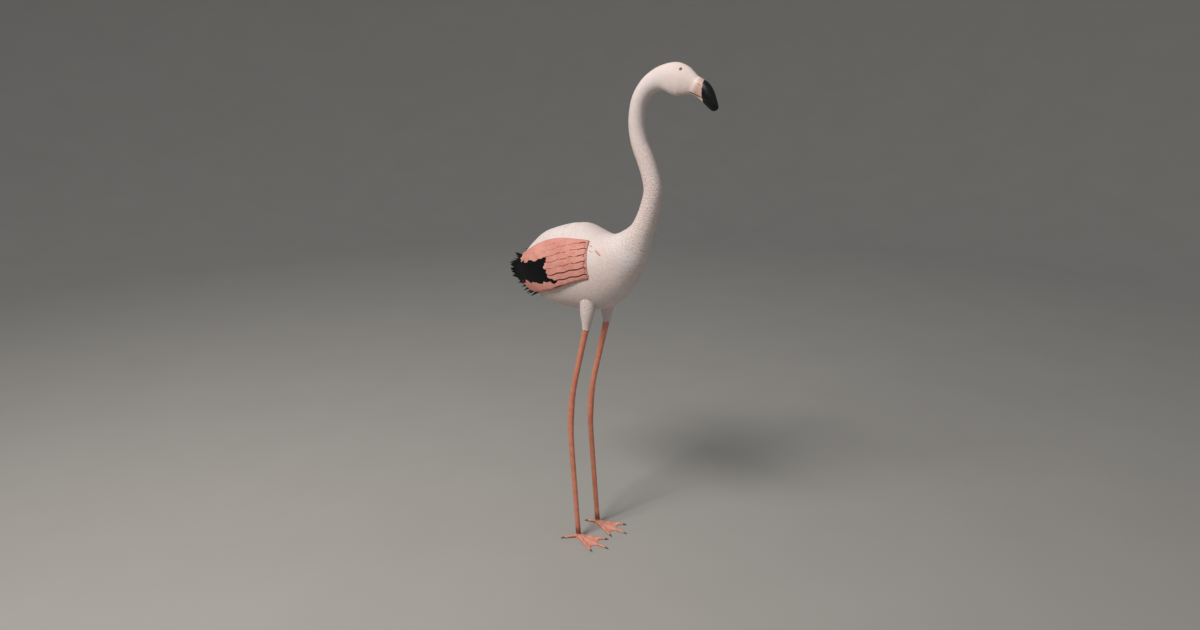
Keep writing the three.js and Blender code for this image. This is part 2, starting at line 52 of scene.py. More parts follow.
# The centre line from the rump to the head: y, z, half width, reach to the back, reach to the belly.
BODY = [
    (223, 856, 19, 13, 26), (207, 861, 37, 28, 73), (177, 866, 54, 55, 109), (137, 869, 69, 86, 127),
    (92, 870, 82, 104, 131), (42, 870, 89, 118, 132), (-10, 871, 91, 122, 130), (-56, 879, 88, 111, 126),
    (-96, 895, 79, 91, 105), (-131, 919, 65, 65, 79), (-161, 949, 48, 47, 59), (-188, 984, 35, 34.5, 37),
    (-205, 1021, 29.4, 29.8, 29.8), (-217, 1061, 26.6, 27.2, 27), (-223, 1100, 25.1, 25.7, 25.6),
    (-214, 1139, 24.1, 24.6, 24.5), (-198, 1179, 23.6, 24.1, 23.9), (-180, 1217, 22.8, 23.3, 23),
    (-170, 1257, 22.1, 22.5, 22.4), (-170, 1296, 21.8, 22.4, 22.2), (-179, 1331, 22, 23, 22.6),
    (-201, 1361, 22.8, 24.8, 24.2), (-229, 1378, 24, 28.4, 28), (-256, 1386, 25, 31, 39),
    (-282, 1386, 25.6, 34.6, 45), (-305, 1380, 23.4, 32.8, 43), (-323, 1372.6, 19, 26.8, 34),
    (-337, 1366.2, 15.4, 22, 25),
]
HEAD_START, NECK_START = 22.2, 10.35  # places along the rows of BODY

# The folded wing: y, z, half width, reach up, reach down, angles of its top and low edges, thickness.
WING = [
    (-74, 875, 88, 101, 119, 43, 100, 4), (-56, 876, 93, 109.5, 120, 42, 103, 8),
    (-10, 873, 100, 121, 125, 44.5, 109.5, 12), (42, 870, 101, 119, 129, 44, 119, 13),
    (92, 869, 94, 106, 130, 45.5, 128, 12), (137, 866, 82, 91, 124, 51, 137, 11),
    (177, 861, 67, 75, 110, 59, 144, 9), (207, 856, 51, 58, 92, 63, 149, 7),
    (232, 849, 38, 44, 74, 66, 149, 5), (252, 840, 28, 30, 50, 62, 143, 3),
]
# The black patch of the folded flight feathers, seen from the side (y, z).
BLACK_PATCH = [
    (60, 907), (94, 895), (145, 880), (207, 862), (218, 930), (320, 930), (320, 805),
    (252, 799), (236, 792), (216, 796), (148, 815), (85, 822), (26, 834), (26, 841), (52, 850), (76, 867),
]
# The flight feathers' tips from the top one (0) to the lowest (1): share, x, y, z.
FLIGHT_TIPS = [
    (0, 20, 258, 883), (0.35, 22, 262, 848), (0.6, 15, 270, 806), (0.8, 20, 235, 766), (1, 33, 190, 751),
]
TAIL_ROOT = (0, 206, 856)
RUMP_HALF = 19.5  # half the trunk's width at its rear end

KNEE = (48, -43, 786)
FEATHER_END = (51.5, -38, 698)
HOCK = (50, 30, 426)  # the corner of the bare leg, rounded over the bend's reach
HOCK_BEND = 112
TOE_JOINT = (51, -3, 12)
# Shares of the way, radius across and radius fore and aft.
THIGH = [
    (-0.25, 9, 11), (-0.12, 16.5, 21), (0, 18.4, 24), (0.14, 18.9, 24.6), (0.3, 18.6, 24), (0.48, 17.7, 22),
    (0.66, 15.8, 18.6), (0.83, 13, 14.8), (1, 10.6, 11.7),
]
LEG_RADII = [
    (0, 9, 10), (0.08, 8.2, 9), (0.22, 7.8, 8.6), (0.33, 8.1, 9), (0.42, 8.9, 10.2), (0.5, 8, 9.1),
    (0.6, 7.4, 8.3), (0.8, 7.2, 8), (0.93, 7.2, 7.8), (1, 8, 8.6),
]
TOES = {"inner": (-26, 86), "middle": (0, 106), "outer": (27, 86)}
TOE_RADII = (5.6, 3.3)
TOE_SINK, TOE_ROOT_LIFT = 0.7, 2.5
WEB_REACH, WEB_NOTCH, WEB_FLOOR, WEB_THICKNESS = 0.84, 0.3, 0.8, 1.8
ANKLE_SPOT = np.array([TOE_JOINT[0], TOE_JOINT[1], 0.0])
HALLUX_START, HALLUX_HEIGHT, HALLUX_DROP, HALLUX_RADIUS = 9, 6.5, 2.5, 3.8
HALLUX_TURN = {1: 18, -1: 44}  # degrees from straight back towards the bird's right, by side
HALLUX_LENGTH = {1: 24, -1: 36}
CLAW_LENGTH, CLAW_RADIUS, CLAW_TIP = 11, 2.7, 0.9

EYE = (13, -304.4, 1400.4)
EYE_RADIUS = 7
LID_OPENING, BARE_RING = 3.8, 5.6  # radii round the eye's axis
EYE_INNER, EYE_OUTER = 6.5, 9.5  # the bare skin fades out between these radii
EYE_SWELL = 0.3  # how much the bare skin rises towards the level of the feathers

BILL_LENGTH, BILL_TIP_ANGLE, BILL_BEND, BILL_GAP = 88.5, 59, (0.1, 0.76), 0.4
# Share along the bill: ridge and keel heights, half width, height of the mouth line.
BILL = [
    (0, 21.9, 24.9, 15.3, -19), (0.15, 21.9, 23.6, 14.8, -18.2), (0.3, 21.8, 23.2, 14.4, -17),
    (0.45, 19.4, 22.8, 14.1, -13.6), (0.6, 16, 21, 13.4, -8.6), (0.75, 12.9, 17.8, 12.1, -4.6),
    (0.88, 10.7, 13.4, 10.1, -2), (0.96, 8.6, 9.6, 7.7, -0.6), (1, 4.6, 4.8, 4, 0),
]

SIDES = (("left", 1), ("right", -1))
rng = np.random.default_rng(11)

# ---------------------------------------------------------------- small maths


def mix(a, b, share):
    return a + (b - a) * share


def smooth(value, low, high):
    t = np.clip((np.asarray(value, float) - low) / (high - low), 0, 1)
    return t * t * (3 - 2 * t)


def bump_at(value, centre, reach):
    """1 at the centre, falling smoothly to 0 at the reach."""
    return 1 - smooth(np.abs(value - centre), 0, reach)


def unit(vectors):
    return vectors / np.maximum(np.linalg.norm(vectors, axis=-1, keepdims=True), 1e-9)


def apart(rows):
    """The columns of rows of numbers."""
    return np.moveaxis(rows, -1, 0)


def graded(table, at):
    """The second column of a table at a value of the first, with straight lines between its rows."""
    return np.interp(at, *np.array(table).T)


def running_total(steps):
    """The sum of the steps before each place, from 0."""
    return np.concatenate([np.zeros_like(steps[:1]), np.cumsum(steps, axis=0)])


def travelled(points):
    """The distance along a line of points, from its first one."""
    return running_total(np.linalg.norm(np.diff(points, axis=0), axis=1))


def round_turns(count):
    return np.linspace(0, FULL_TURN, count, endpoint=False)


def through(rows):
    """A smooth curve through evenly spaced rows, as a function of the place along them."""
    table = np.array(rows, float)
    last = len(table) - 1

    def at_place(place):
        place = np.clip(np.asarray(place, float), 0, last)
        i = np.minimum(place.astype(int), last - 1)
        t = (place - i)[..., None]
        a, b, c, d = (table[np.clip(i + k, 0, last)] for k in (-1, 0, 1, 2))
        return b + 0.5 * t * (c - a + t * (2 * a - 5 * b + 4 * c - d + t * (3 * (b - c) + d - a)))

    return at_place


def keyed(rows):
    """The same curve looked up by its rising first column."""
    curve = through(rows)
    places = np.linspace(0, len(rows) - 1, 60 * len(rows))
    keys = curve(places)[:, 0]
    return lambda key: curve(np.interp(key, keys, places))


def place(points):
    """Millimetres of the feet's frame as metres of the part's frame."""
    return (np.asarray(points, float) + (0, FEET_Y, 0)) * MM


def inside(y, z, outline):
    """Whether each point of the side view lies in the outline."""
    found = np.zeros(np.shape(y), bool)
    for (y0, z0), (y1, z1) in zip(outline, outline[1:] + outline[:1]):
        crosses = (z0 > z) != (z1 > z)
        edge = y0 + (z - z0) * (y1 - y0) / ((z1 - z0) or 1e-9)
        found ^= crosses & (y < edge)
    return found


# ---------------------------------------------------------------- surfaces
# Each surface takes a distance along the lie of the feathers, a place across it and a height over it.


def on_arrays(surface):
    """The surface for numbers and arrays of any shapes that match."""
    return lambda *places: surface(*np.broadcast_arrays(*places))


body_at = through(BODY)
BODY_END = len(BODY) - 1
BODY_PLACES = np.linspace(0, BODY_END, 100 * BODY_END + 1)
BODY_TRAVEL = travelled(body_at(BODY_PLACES)[:, :2])
BODY_LENGTH = BODY_TRAVEL[-1]
ROW_STEP = 0.01  # a small step along the rows, to find directions by


def body_place(distance):
    """The place along the rows of BODY at a distance from the face."""
    return np.interp(BODY_LENGTH - np.asarray(distance, float), BODY_TRAVEL, BODY_PLACES)


def body_distance(at):
    return BODY_LENGTH - np.interp(at, BODY_PLACES, BODY_TRAVEL)


@on_arrays
def body_surface(distance, turn, height):
    """The outline of trunk, neck and head. Turn starts at the back and goes towards the left."""
    at = body_place(distance)
    y, z, half, back, belly = apart(body_at(at))
    ahead, behind = body_at(np.minimum(at + ROW_STEP, BODY_END)), body_at(np.maximum(at - ROW_STEP, 0))
    along = unit((ahead - behind)[..., :2])
    reach = (np.where(np.cos(turn) > 0, back, belly) + height) * np.cos(turn)
    out = (half + height) * np.sin(turn)
    return np.stack([out, y + along[..., 1] * reach, z - along[..., 0] * reach], -1)


wing_at = keyed(WING)
WING_FRONT, WING_REAR = WING[0][0], WING[-1][0]
WING_LEAN, WING_LEAN_REACH = 17, 90  # the front edge leans back towards its top, fading out behind it
EDGE_FADE, EDGE_SINK = 0.05, 0.8  # the outer face dips in over the top and low edges


def wing_point(side, y, across, inwards):
    """A point of a folded wing; across is 0 at its top edge and 1 at its low one."""
    y = y + WING_LEAN * (1 - across) * (1 - smooth(y, WING_FRONT, WING_FRONT + WING_LEAN_REACH))
    _, z, half, up, down, top, low, _ = apart(wing_at(y))
    turn = np.radians(mix(top, low, across))
    reach = (np.where(np.cos(turn) > 0, up, down) - inwards) * np.cos(turn)
    return np.stack([side * (half - inwards) * np.sin(turn), y, z + reach], -1)


def wing_surface(side):
    """The outer face of one folded wing, from its front edge (distance 0) to its rear."""

    @on_arrays
    def surface(distance, across, height):
        y = WING_FRONT + distance
        thick = wing_at(y)[..., 7]
        over_edge = np.maximum(
            smooth(-across, -EDGE_FADE, EDGE_FADE), smooth(across, 1 - EDGE_FADE, 1 + EDGE_FADE)
        )
        return wing_point(side, y, across, thick * EDGE_SINK * over_edge - height)

    return surface


def flat_surface(root, tip, normal, bend):
    """A gently bent sheet from root to tip. A step of 1 across it is a centimetre."""
    root, tip, normal = (np.array(v, float) for v in (root, tip, normal))
    length = np.linalg.norm(tip - root)
    along = (tip - root) / length
    across = unit(np.cross(along, normal))
    normal = np.cross(across, along)

    @on_arrays
    def surface(distance, side, height):
        share = distance / length
        rise = height + 4 * bend * share * (1 - share)
        return root + along * distance[..., None] + across * side[..., None] * 10 + normal * rise[..., None]

    return surface, length


def round_line(centre, along, out, up, turn, height):
    """Points of an oval section round a line that runs along a direction."""
    across = unit(np.array([1.0, 0, 0]) - along * along[..., :1])
    front = np.cross(along, across)
    sideways = across * ((out + height) * np.cos(turn))[..., None]
    return centre + sideways + front * ((up + height) * np.sin(turn))[..., None]


def tube_surface(start, end, rows, side=1):
    """A straight tube with an oval section."""
    start, end = np.array(start, float), np.array(end, float)
    length = np.linalg.norm(end - start)
    along = (end - start) / length
    radii = keyed(rows)

    @on_arrays
    def surface(distance, turn, height):
        _, out, up = apart(radii(distance / length))
        return round_line(start + along * distance[..., None], along, out, up, turn, height) * (side, 1, 1)

    return surface, length


# ---------------------------------------------------------------- meshes


def read(items, name, width, kind=np.float32):
    """One value of all of a mesh's vertices, edges or corners, as rows."""
    values = np.empty(len(items) * width, kind)
    items.foreach_get(name, values)
    return values.reshape(-1, width)


def write(items, name, values, kind=np.float32):
    items.foreach_set(name, np.ascontiguousarray(values, kind).ravel())


def new_object(name, data):
    made = bpy.data.objects.new(name, data)
    bpy.context.scene.collection.objects.link(made)
    return made


def build_object(name, points, faces, material=None):
    """A smooth-shaded mesh from metres and quads, given as arrays."""
    mesh = bpy.data.meshes.new(name)
    mesh.vertices.add(len(points))
    write(mesh.vertices, "co", points)
    mesh.loops.add(faces.size)
    write(mesh.loops, "vertex_index", faces, np.int32)
    mesh.polygons.add(len(faces))
    write(mesh.polygons, "loop_start", np.arange(len(faces)) * faces.shape[1], np.int32)
    mesh.update(calc_edges=True)
    mesh.shade_smooth()
    if material:
        mesh.materials.append(material)
    return new_object(name, mesh)


def finish_piece(made, slot, *nodes):
    """The piece rides on the one body and stands for these solids, which it hides; the slot is not used."""
    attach(made, "root")
    if nodes:
        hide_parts(*nodes)


def store(made, name, values):
    """A number for each vertex, for the material to read."""
    write(made.data.attributes.new(name, "FLOAT", "POINT").data, "value", values)


def ring_faces(rings, corners):
    """Quads between rings of points, and a cap at each end as strips of quads. Corners is even."""
    ring = np.arange(corners)
    after = (ring + 1) % corners
    start = (np.arange(rings - 1) * corners)[:, None]
    sides = np.stack([start + ring, start + after, start + corners + after, start + corners + ring], -1)
    k = np.arange(corners // 2 - 1)
    cap = np.stack([k, corners - 1 - k, corners - 2 - k, k + 1], -1)
    far = (rings - 1) * corners + cap[:, ::-1]
    return np.concatenate([sides.reshape(-1, 4), cap, far])


def volume_of(points, faces):
    """Signed volume within a closed mesh of quads."""
    a, b, c, d = (points[faces[:, k]] for k in range(4))
    tetra = np.einsum("ij,ij->i", a, np.cross(b, c)) + np.einsum("ij,ij->i", a, np.cross(c, d))
    return tetra.sum() / 6


def facing_out(points, faces):
    return faces[:, ::-1] if volume_of(points, faces) < 0 else faces


def loft(rings):
    """A closed mesh through rings of points (rings, corners, 3), facing outwards."""
    rings = np.asarray(rings, float)
    points = rings.reshape(-1, 3)
    return points, facing_out(points, ring_faces(*rings.shape[:2]))


def mirrored(made, side):
    points, faces = made
    return (points, faces) if side > 0 else (points * (-1, 1, 1), faces[:, ::-1])


def object_from(name, made, material=None):
    points, faces = made
    return build_object(name, place(points), faces, material)


def evaluated(made):
    """Swap the object's mesh for its modified one."""
    bpy.context.view_layer.update()
    graph = bpy.context.evaluated_depsgraph_get()
    mesh = bpy.data.meshes.new_from_object(made.evaluated_get(graph))
    made.modifiers.clear()
    made.data = mesh


def join_solids(first, others):
    """One closed surface round all the solids, which are used up."""
    for other in others:
        modifier = first.modifiers.new("join", "BOOLEAN")
        modifier.operation = "UNION"
        modifier.solver = "MANIFOLD"
        modifier.object = other
        before = len(first.data.vertices)
        evaluated(first)
        if len(first.data.vertices) <= before // 2:
            raise RuntimeError(f"{other.name} was lost in the join")
        bpy.data.objects.remove(other)


def merged(objects, name):
    """One object from several overlapping meshes, unjoined."""
    points, faces, offset = [], [], 0
    for made in objects:
        points.append(read(made.data.vertices, "co", 3))
        faces.append(read(made.data.loops, "vertex_index", 1, np.int32).reshape(-1, 4) + offset)
        offset += len(points[-1])
        bpy.data.objects.remove(made)
    return build_object(name, np.concatenate(points), np.concatenate(faces))


def vertices_of(made):
    return read(made.data.vertices, "co", 3).astype(float)


def in_feet_frame(made):
    return vertices_of(made) / MM - (0, FEET_Y, 0)


# ---------------------------------------------------------------- feathers

# Width of a vane by share of its length.
ROUND_TIP = [(0, 0.3), (0.2, 0.74), (0.45, 0.98), (0.7, 1), (0.86, 0.82), (0.95, 0.5), (1, 0.1)]
POINTED_TIP = [(0, 0.4), (0.2, 0.85), (0.45, 1), (0.7, 0.84), (0.86, 0.52), (0.95, 0.24), (1, 0.03)]


LEAST_WIDTH = 0.03
ROOT_CURVE = 1.4  # how steeply a vane comes up from its root
TIP_THINNING = 0.6
HEIGHT_JITTER = 0.4  # a share of the thickness
BARB_SLANT, BARB_PITCH = 1.1, 0.9


def vane_widths(rows, pointed):
    """Where a vane's rows lie along it and how wide they are, for each feather."""
    spots = np.linspace(0, 1, rows) ** 0.8
    spots = 1 - (1 - spots) ** 1.25
    return spots, np.maximum(mix(graded(ROUND_TIP, spots), graded(POINTED_TIP, spots), pointed), LEAST_WIDTH)


def coat(surface, along, across, *, turn=0, length, width, depth, lift=0.0, roll=0.0, camber=0.3,
         thick=0.25, rows=6, columns=3, pointed=0.0, ragged=0.0):
    """Thin closed feathers that lie along a surface, rooted at places on it.

    Each feather's points are found on the surface itself, so it follows every bend. It rises from
    its root, depth under the surface, to its tip.
    """
    count = len(along)
    turn, length, width, depth, lift, roll, pointed = (
        np.broadcast_to(np.asarray(v, float), (count,))[:, None, None]
        for v in (turn, length, width, depth, lift, roll, pointed)
    )
    spots, widths = vane_widths(rows, pointed[..., 0])
    top = np.linspace(-1, 1, columns)
    ring_across = np.concatenate([top, top[-2:0:-1]])
    ring_side = np.concatenate([[0], np.ones(columns - 2), [0], -np.ones(columns - 2)])
    corners = len(ring_across)
    t = spots[None, :, None]
    c = np.broadcast_to(ring_across, (count, rows, corners))
    frayed = widths * (1 - ragged * rng.random(widths.shape))
    out = c * frayed[..., None] * width / 2
    forward = t * length * np.ones_like(c)

    def stretch(step_along, step_across, least):
        """Millimetres of surface for a step of 1 along or across it, at the roots."""
        ahead = surface(along + step_along, across + step_across, 0)
        behind = surface(along - step_along, across - step_across, 0)
        gap = np.linalg.norm(ahead - behind, axis=-1) / 2 / (step_along + step_across)
        return np.maximum(gap, least)[:, None, None]

    cos, sin = np.cos(turn), np.sin(turn)
    u = along[:, None, None] + (forward * cos - out * sin) / stretch(1.0, 0, 0.45)
    v = across[:, None, None] + (forward * sin + out * cos) / stretch(0, 0.01, 3)
    rise = -depth * (1 - t) ** ROOT_CURVE + lift * t * t
    half_thick = thick / 2 * (1 - TIP_THINNING * t)
    height = rise - camber * c * c * widths[..., None] + ring_side * half_thick + roll * c
    height = height + HEIGHT_JITTER * thick * rng.uniform(-1, 1, (count, 1, 1))
    points = surface(u, v, height).reshape(-1, 3)
    faces = ring_faces(rows, corners)[None] + (np.arange(count) * rows * corners)[:, None, None]
    numbers = {
        "share": t, "side": c, "barb": (forward - np.abs(out) * BARB_SLANT) / BARB_PITCH,
        "tone": rng.random((count, 1, 1)),
    }
    return {
        "points": points,
        "faces": facing_out(points, faces.reshape(-1, 4)),
        "root": (along, across),
        "per": rows * corners,
        "place": (u.reshape(-1), v.reshape(-1)),
        **{name: np.broadcast_to(values, c.shape).reshape(-1) for name, values in numbers.items()},
    }


def mark(feathers, **marks):
    """The same number for all of a feather's vertices."""
    for name, values in marks.items():
        values = np.broadcast_to(np.asarray(values, float), feathers["root"][0].shape)
        feathers[name] = np.repeat(values, feathers["per"])
    return feathers


def lone_vane(root, tip, normal, bend, spot, **shape):
    """One long feather from root to tip, with a spot of its own on the unwrap."""
    surface, length = flat_surface(root, tip, normal, bend)
    start = np.array([0.0])
    group = coat(surface, start, start, length=length, thick=0.7, columns=5, camber=0.8, ragged=0.05, **shape)
    group["root"] = (np.array([spot]), start)
    return group


def sharpen_rims(made, side):
    """Split the shading along the vanes' edges, so that each lies flat to the eye."""
    a, b = side[read(made.data.edges, "vertices", 2, np.int32)].T
    sharp = made.data.attributes.new("sharp_edge", "BOOLEAN", "EDGE")
    write(sharp.data, "value", a * b > 0.99, bool)


NUMBERS = ("share", "side", "barb", "tone", "pink", "black", "line", "row")  # 0 where a group has none
PATCH = 0.003  # size of a feather on the unwrap
UNWRAP_RIM = 0.004


def coat_piece(name, groups, unwrap, slot, *nodes):
    """One piece from groups of feathers, each a small patch at its root's place on the unwrap."""
    points, faces, patches, offset = [], [], [], 0
    for index, group in enumerate(groups):
        points.append(group["points"])
        faces.append(group["faces"] + offset)
        offset += len(group["points"])
        roots = np.stack(unwrap(index, *group["root"]), -1).repeat(group["per"], axis=0)
        spot = np.stack([group["share"] - 0.5, group["side"] / 2], -1) * PATCH
        patches.append(UNWRAP_RIM + (1 - 2 * UNWRAP_RIM) * np.clip(roots, 0, 1) + spot)
    faces = np.concatenate(faces)
    made = build_object(name, place(np.concatenate(points)), faces, FEATHERS)
    for number in NUMBERS:
        store(made, number, np.concatenate([group.get(number, 0 * group["share"]) for group in groups]))
    sharpen_rims(made, np.concatenate([group["side"] for group in groups]))
    write(made.data.uv_layers.new(name="OFBake").data, "uv", np.concatenate(patches)[faces.ravel()])
    finish_piece(made, slot, *nodes)


# ---------------------------------------------------------------- materials


class Nodes:
    """A short hand for building a material's nodes."""

    def __init__(self, name):
        self.material = bpy.data.materials.new(name)
        self.material.use_nodes = True
        self.tree = self.material.node_tree
        self.shader = self.tree.nodes["Principled BSDF"]

    def add(self, kind, **settings):
        node = self.tree.nodes.new(kind)
        for key, value in settings.items():
            setattr(node, key, value)
        return node

    def link(self, value, socket):
        if isinstance(value, bpy.types.NodeSocket):
            self.tree.links.new(value, socket)
        else:
            socket.default_value = value

    def number(self, name):
        return self.add("ShaderNodeAttribute", attribute_name=name).outputs["Fac"]

    def maths(self, operation, a, b=0.0):
        node = self.add("ShaderNodeMath", operation=operation)
        for socket, value in zip(node.inputs, (a, b)):
            self.link(value, socket)
        return node.outputs[0]

    def times(self, a, b):
        return self.maths("MULTIPLY", a, b)

    def plus(self, a, b):
        return self.maths("ADD", a, b)

    def minus(self, a, b):
        return self.maths("SUBTRACT", a, b)

    def ramp(self, value, low, high, start=0.0, end=1.0):
        node = self.add("ShaderNodeMapRange", interpolation_type="SMOOTHSTEP")
        for socket, given in zip(node.inputs[:5], (value, low, high, start, end)):
            self.link(given, socket)
        return node.outputs[0]

    def blend(self, share, a, b, how="MIX"):
        node = self.add("ShaderNodeMix", data_type="RGBA", blend_type=how)
        self.link(share, node.inputs[0])
        for socket, value in ((node.inputs[6], a), (node.inputs[7], b)):
            self.link(value if isinstance(value, bpy.types.NodeSocket) else (*value, 1), socket)
        return node.outputs[2]

    def where(self):
        return self.add("ShaderNodeTexCoord").outputs["Object"]

    def texture(self, kind, output, **inputs):
        node = self.add(kind)
        self.link(self.where(), node.inputs["Vector"])
        for name, value in inputs.items():
            node.inputs[name].default_value = value
        return node.outputs[output]

    def noise(self, scale, detail=3.0):
        return self.texture("ShaderNodeTexNoise", "Fac", Scale=scale, Detail=detail)

    def cells(self, scale):
        return self.texture("ShaderNodeTexVoronoi", "Distance", Scale=scale)

    def mottle(self, scale, detail=3.0, low=0.3, high=0.7):
        """Soft patches, from 0 to 1."""
        return self.ramp(self.noise(scale, detail), low, high)

    def marked(self, base, **colours):
        """The base colour with others laid over it in turn, each by the number of its name."""
        for name, colour in colours.items():
            base = self.blend(self.number(name), base, colour)
        return base

    def relief(self, height, strength, distance):
        node = self.add("ShaderNodeBump")
        for name, value in (("Height", height), ("Strength", strength), ("Distance", distance)):
            self.link(value, node.inputs[name])
        self.link(node.outputs["Normal"], self.shader.inputs["Normal"])

    def done(self, colour, roughness, **constants):
        self.link(colour, self.shader.inputs["Base Color"])
        self.link(roughness, self.shader.inputs["Roughness"])
        for name, value in constants.items():
            self.shader.inputs[name.replace("_", " ")].default_value = value
        return self.material


WHITE, WHITE_WARM = (0.70, 0.61, 0.585), (0.69, 0.565, 0.525)
SALMON, SALMON_DEEP = (0.68, 0.31, 0.25), (0.60, 0.245, 0.195)
# Painted shade along the rows of coverts, where one row overlaps the next.
SALMON_ROW_SHADE = (0.09, 0.02, 0.015)
BLACK = (0.0035, 0.004, 0.0045)
LEG, LEG_DEEP = (0.69, 0.255, 0.155), (0.58, 0.19, 0.115)
ANKLE = (0.24, 0.065, 0.045)
FOOT = (0.72, 0.32, 0.25)
BARE_FACE, BARE_FACE_DEEP = (0.69, 0.57, 0.53), (0.68, 0.54, 0.49)
LID = (0.22, 0.14, 0.11)
BILL_PINK, BILL_PINK_DEEP = (0.52, 0.34, 0.285), (0.50, 0.31, 0.255)
# The lower jaw's colour, and painted shade along the mouth line and in the nostril slot.
BILL_LOW, BILL_SLIT_SHADE = (0.74, 0.54, 0.47), (0.13, 0.05, 0.04)
BILL_BLACK, BILL_BLACK_WORN = (0.003, 0.0035, 0.004), (0.009, 0.0095, 0.010)
CLAW, CLAW_WORN = (0.035, 0.028, 0.025), (0.11, 0.07, 0.055)
IRIS, IRIS_DEEP, IRIS_RIM = (0.36, 0.30, 0.12), (0.26, 0.21, 0.08), (0.03, 0.022, 0.015)
PUPIL = (0.004, 0.004, 0.005)
PAPER, PAPER_WARM = (0.36, 0.338, 0.308), (0.39, 0.368, 0.337)

BILL_EDGE = (-364.5 + FEET_Y) * MM  # where the bill's black begins
BILL_EDGE_SOFT, BILL_EDGE_WANDER = 0.0012, 0.004
IRIS_REACH, PUPIL_REACH = (3.2, 3.8), (2.4, 2.2)


def plumage_colour(nodes):
    """White, salmon and black, by the marks that skin and feathers share."""
    white = nodes.blend(nodes.mottle(9, 2, 0.35, 0.65), WHITE, WHITE_WARM)
    salmon = nodes.blend(nodes.mottle(26, 3, 0.35), SALMON, SALMON_DEEP)
    coloured = nodes.blend(nodes.ramp(nodes.number("pink"), 0.4, 0.6), white, salmon)
    return nodes.blend(nodes.number("black"), coloured, BLACK)


def covert_row_shade(nodes):
    """Painted shade: dark broken lines along every second row of coverts, where one row overlaps the next."""
    strength = nodes.number("line")
    phase = nodes.maths("FRACT", nodes.times(nodes.number("row"), 0.5))
    off_line = nodes.maths("ABSOLUTE", nodes.minus(phase, 0.5))
    widened = nodes.minus(off_line, nodes.times(strength, 0.045))
    gaps = nodes.minus(nodes.noise(170, 2), nodes.times(strength, 0.6))
    broken = nodes.times(nodes.ramp(widened, 0.075, 0.03), nodes.ramp(gaps, 0.42, 0.3))
    return nodes.times(broken, nodes.ramp(strength, 0.0, 0.5))


def feather_material():
    nodes = Nodes("feathers")
    tone = nodes.ramp(nodes.number("tone"), 0, 1, 0.965, 1.02)
    # Darker towards each feather's root: painted shade where the feathers overlap.
    root = nodes.ramp(nodes.number("share"), 0.0, 0.3, 0.93, 1.0)
    shade = nodes.times(tone, root)
    grey = nodes.add("ShaderNodeCombineColor")
    for socket in grey.inputs[:3]:
        nodes.link(shade, socket)
    colour = nodes.blend(1.0, plumage_colour(nodes), grey.outputs[0], "MULTIPLY")
    # The coverts' dark row lines are painted shade laid over the colour.
    colour = nodes.blend(covert_row_shade(nodes), colour, SALMON_ROW_SHADE)
    barbs = nodes.maths("SINE", nodes.times(nodes.number("barb"), FULL_TURN))
    shaft = nodes.ramp(nodes.maths("ABSOLUTE", nodes.number("side")), 0.1, 0.0)
    nodes.relief(nodes.plus(nodes.times(barbs, 0.25), shaft), 0.25, 0.0003)
    return nodes.done(colour, nodes.ramp(nodes.number("black"), 0, 1, 0.78, 0.55), Specular_IOR_Level=0.12)


def skin_material():
    nodes = Nodes("bird_skin")
    foot = nodes.blend(nodes.mottle(90), FOOT, LEG)
    leg = nodes.blend(nodes.mottle(60, 4, 0.35), LEG, LEG_DEEP)
    # The grooves between the leg's scales take the deeper leg colour as painted shade.
    leg = nodes.marked(leg, foot=foot, ankle=ANKLE, groove=LEG_DEEP)
    face = nodes.blend(nodes.mottle(220), BARE_FACE, BARE_FACE_DEEP)
    colour = nodes.marked(plumage_colour(nodes), bare=face, leg=leg, lid=LID)
    coarse = nodes.noise(500)
    nodes.relief(nodes.plus(nodes.cells(420), nodes.times(coarse, 0.4)), 0.45, 0.0004)
    return nodes.done(colour, nodes.ramp(coarse, 0.2, 0.8, 0.45, 0.62), Subsurface_Weight=0.04)


def bill_material():
    nodes = Nodes("bill_horn")
    position = nodes.add("ShaderNodeSeparateXYZ")
    nodes.link(nodes.where(), position.inputs[0])
    wander = nodes.times(nodes.minus(nodes.noise(120), 0.5), BILL_EDGE_WANDER)
    edge = nodes.plus(position.outputs[1], wander)
    black = nodes.ramp(edge, BILL_EDGE + BILL_EDGE_SOFT, BILL_EDGE - BILL_EDGE_SOFT)
    streak = nodes.mottle(160, 4)
    pink = nodes.blend(streak, BILL_PINK, BILL_PINK_DEEP)
    pink = nodes.blend(nodes.ramp(nodes.number("base"), 0.0, 1.0), pink, BARE_FACE)
    pink = nodes.blend(nodes.ramp(nodes.number("low"), 0.4, 0.6), pink, BILL_LOW)
    # Painted shade along the mouth line and in the nostril slot.
    pink = nodes.marked(pink, mouth=BILL_SLIT_SHADE)
    colour = nodes.blend(black, pink, nodes.blend(streak, BILL_BLACK, BILL_BLACK_WORN))
    pits = nodes.times(nodes.cells(260), 0.3)
    nodes.relief(nodes.plus(nodes.noise(700), pits), 0.25, 0.0003)
    gloss = nodes.ramp(black, 0, 1, 0.42, 0.3)
    return nodes.done(colour, gloss, Coat_Weight=0.05, Coat_Roughness=0.3, Specular_IOR_Level=0.2)


def claw_material():
    nodes = Nodes("claw_horn")
    streak = nodes.mottle(900)
    nodes.relief(nodes.noise(1200, 2), 0.3, 0.0002)
    colour = nodes.blend(streak, CLAW, CLAW_WORN)
    return nodes.done(colour, nodes.ramp(streak, 0, 1, 0.3, 0.45), Coat_Weight=0.2)


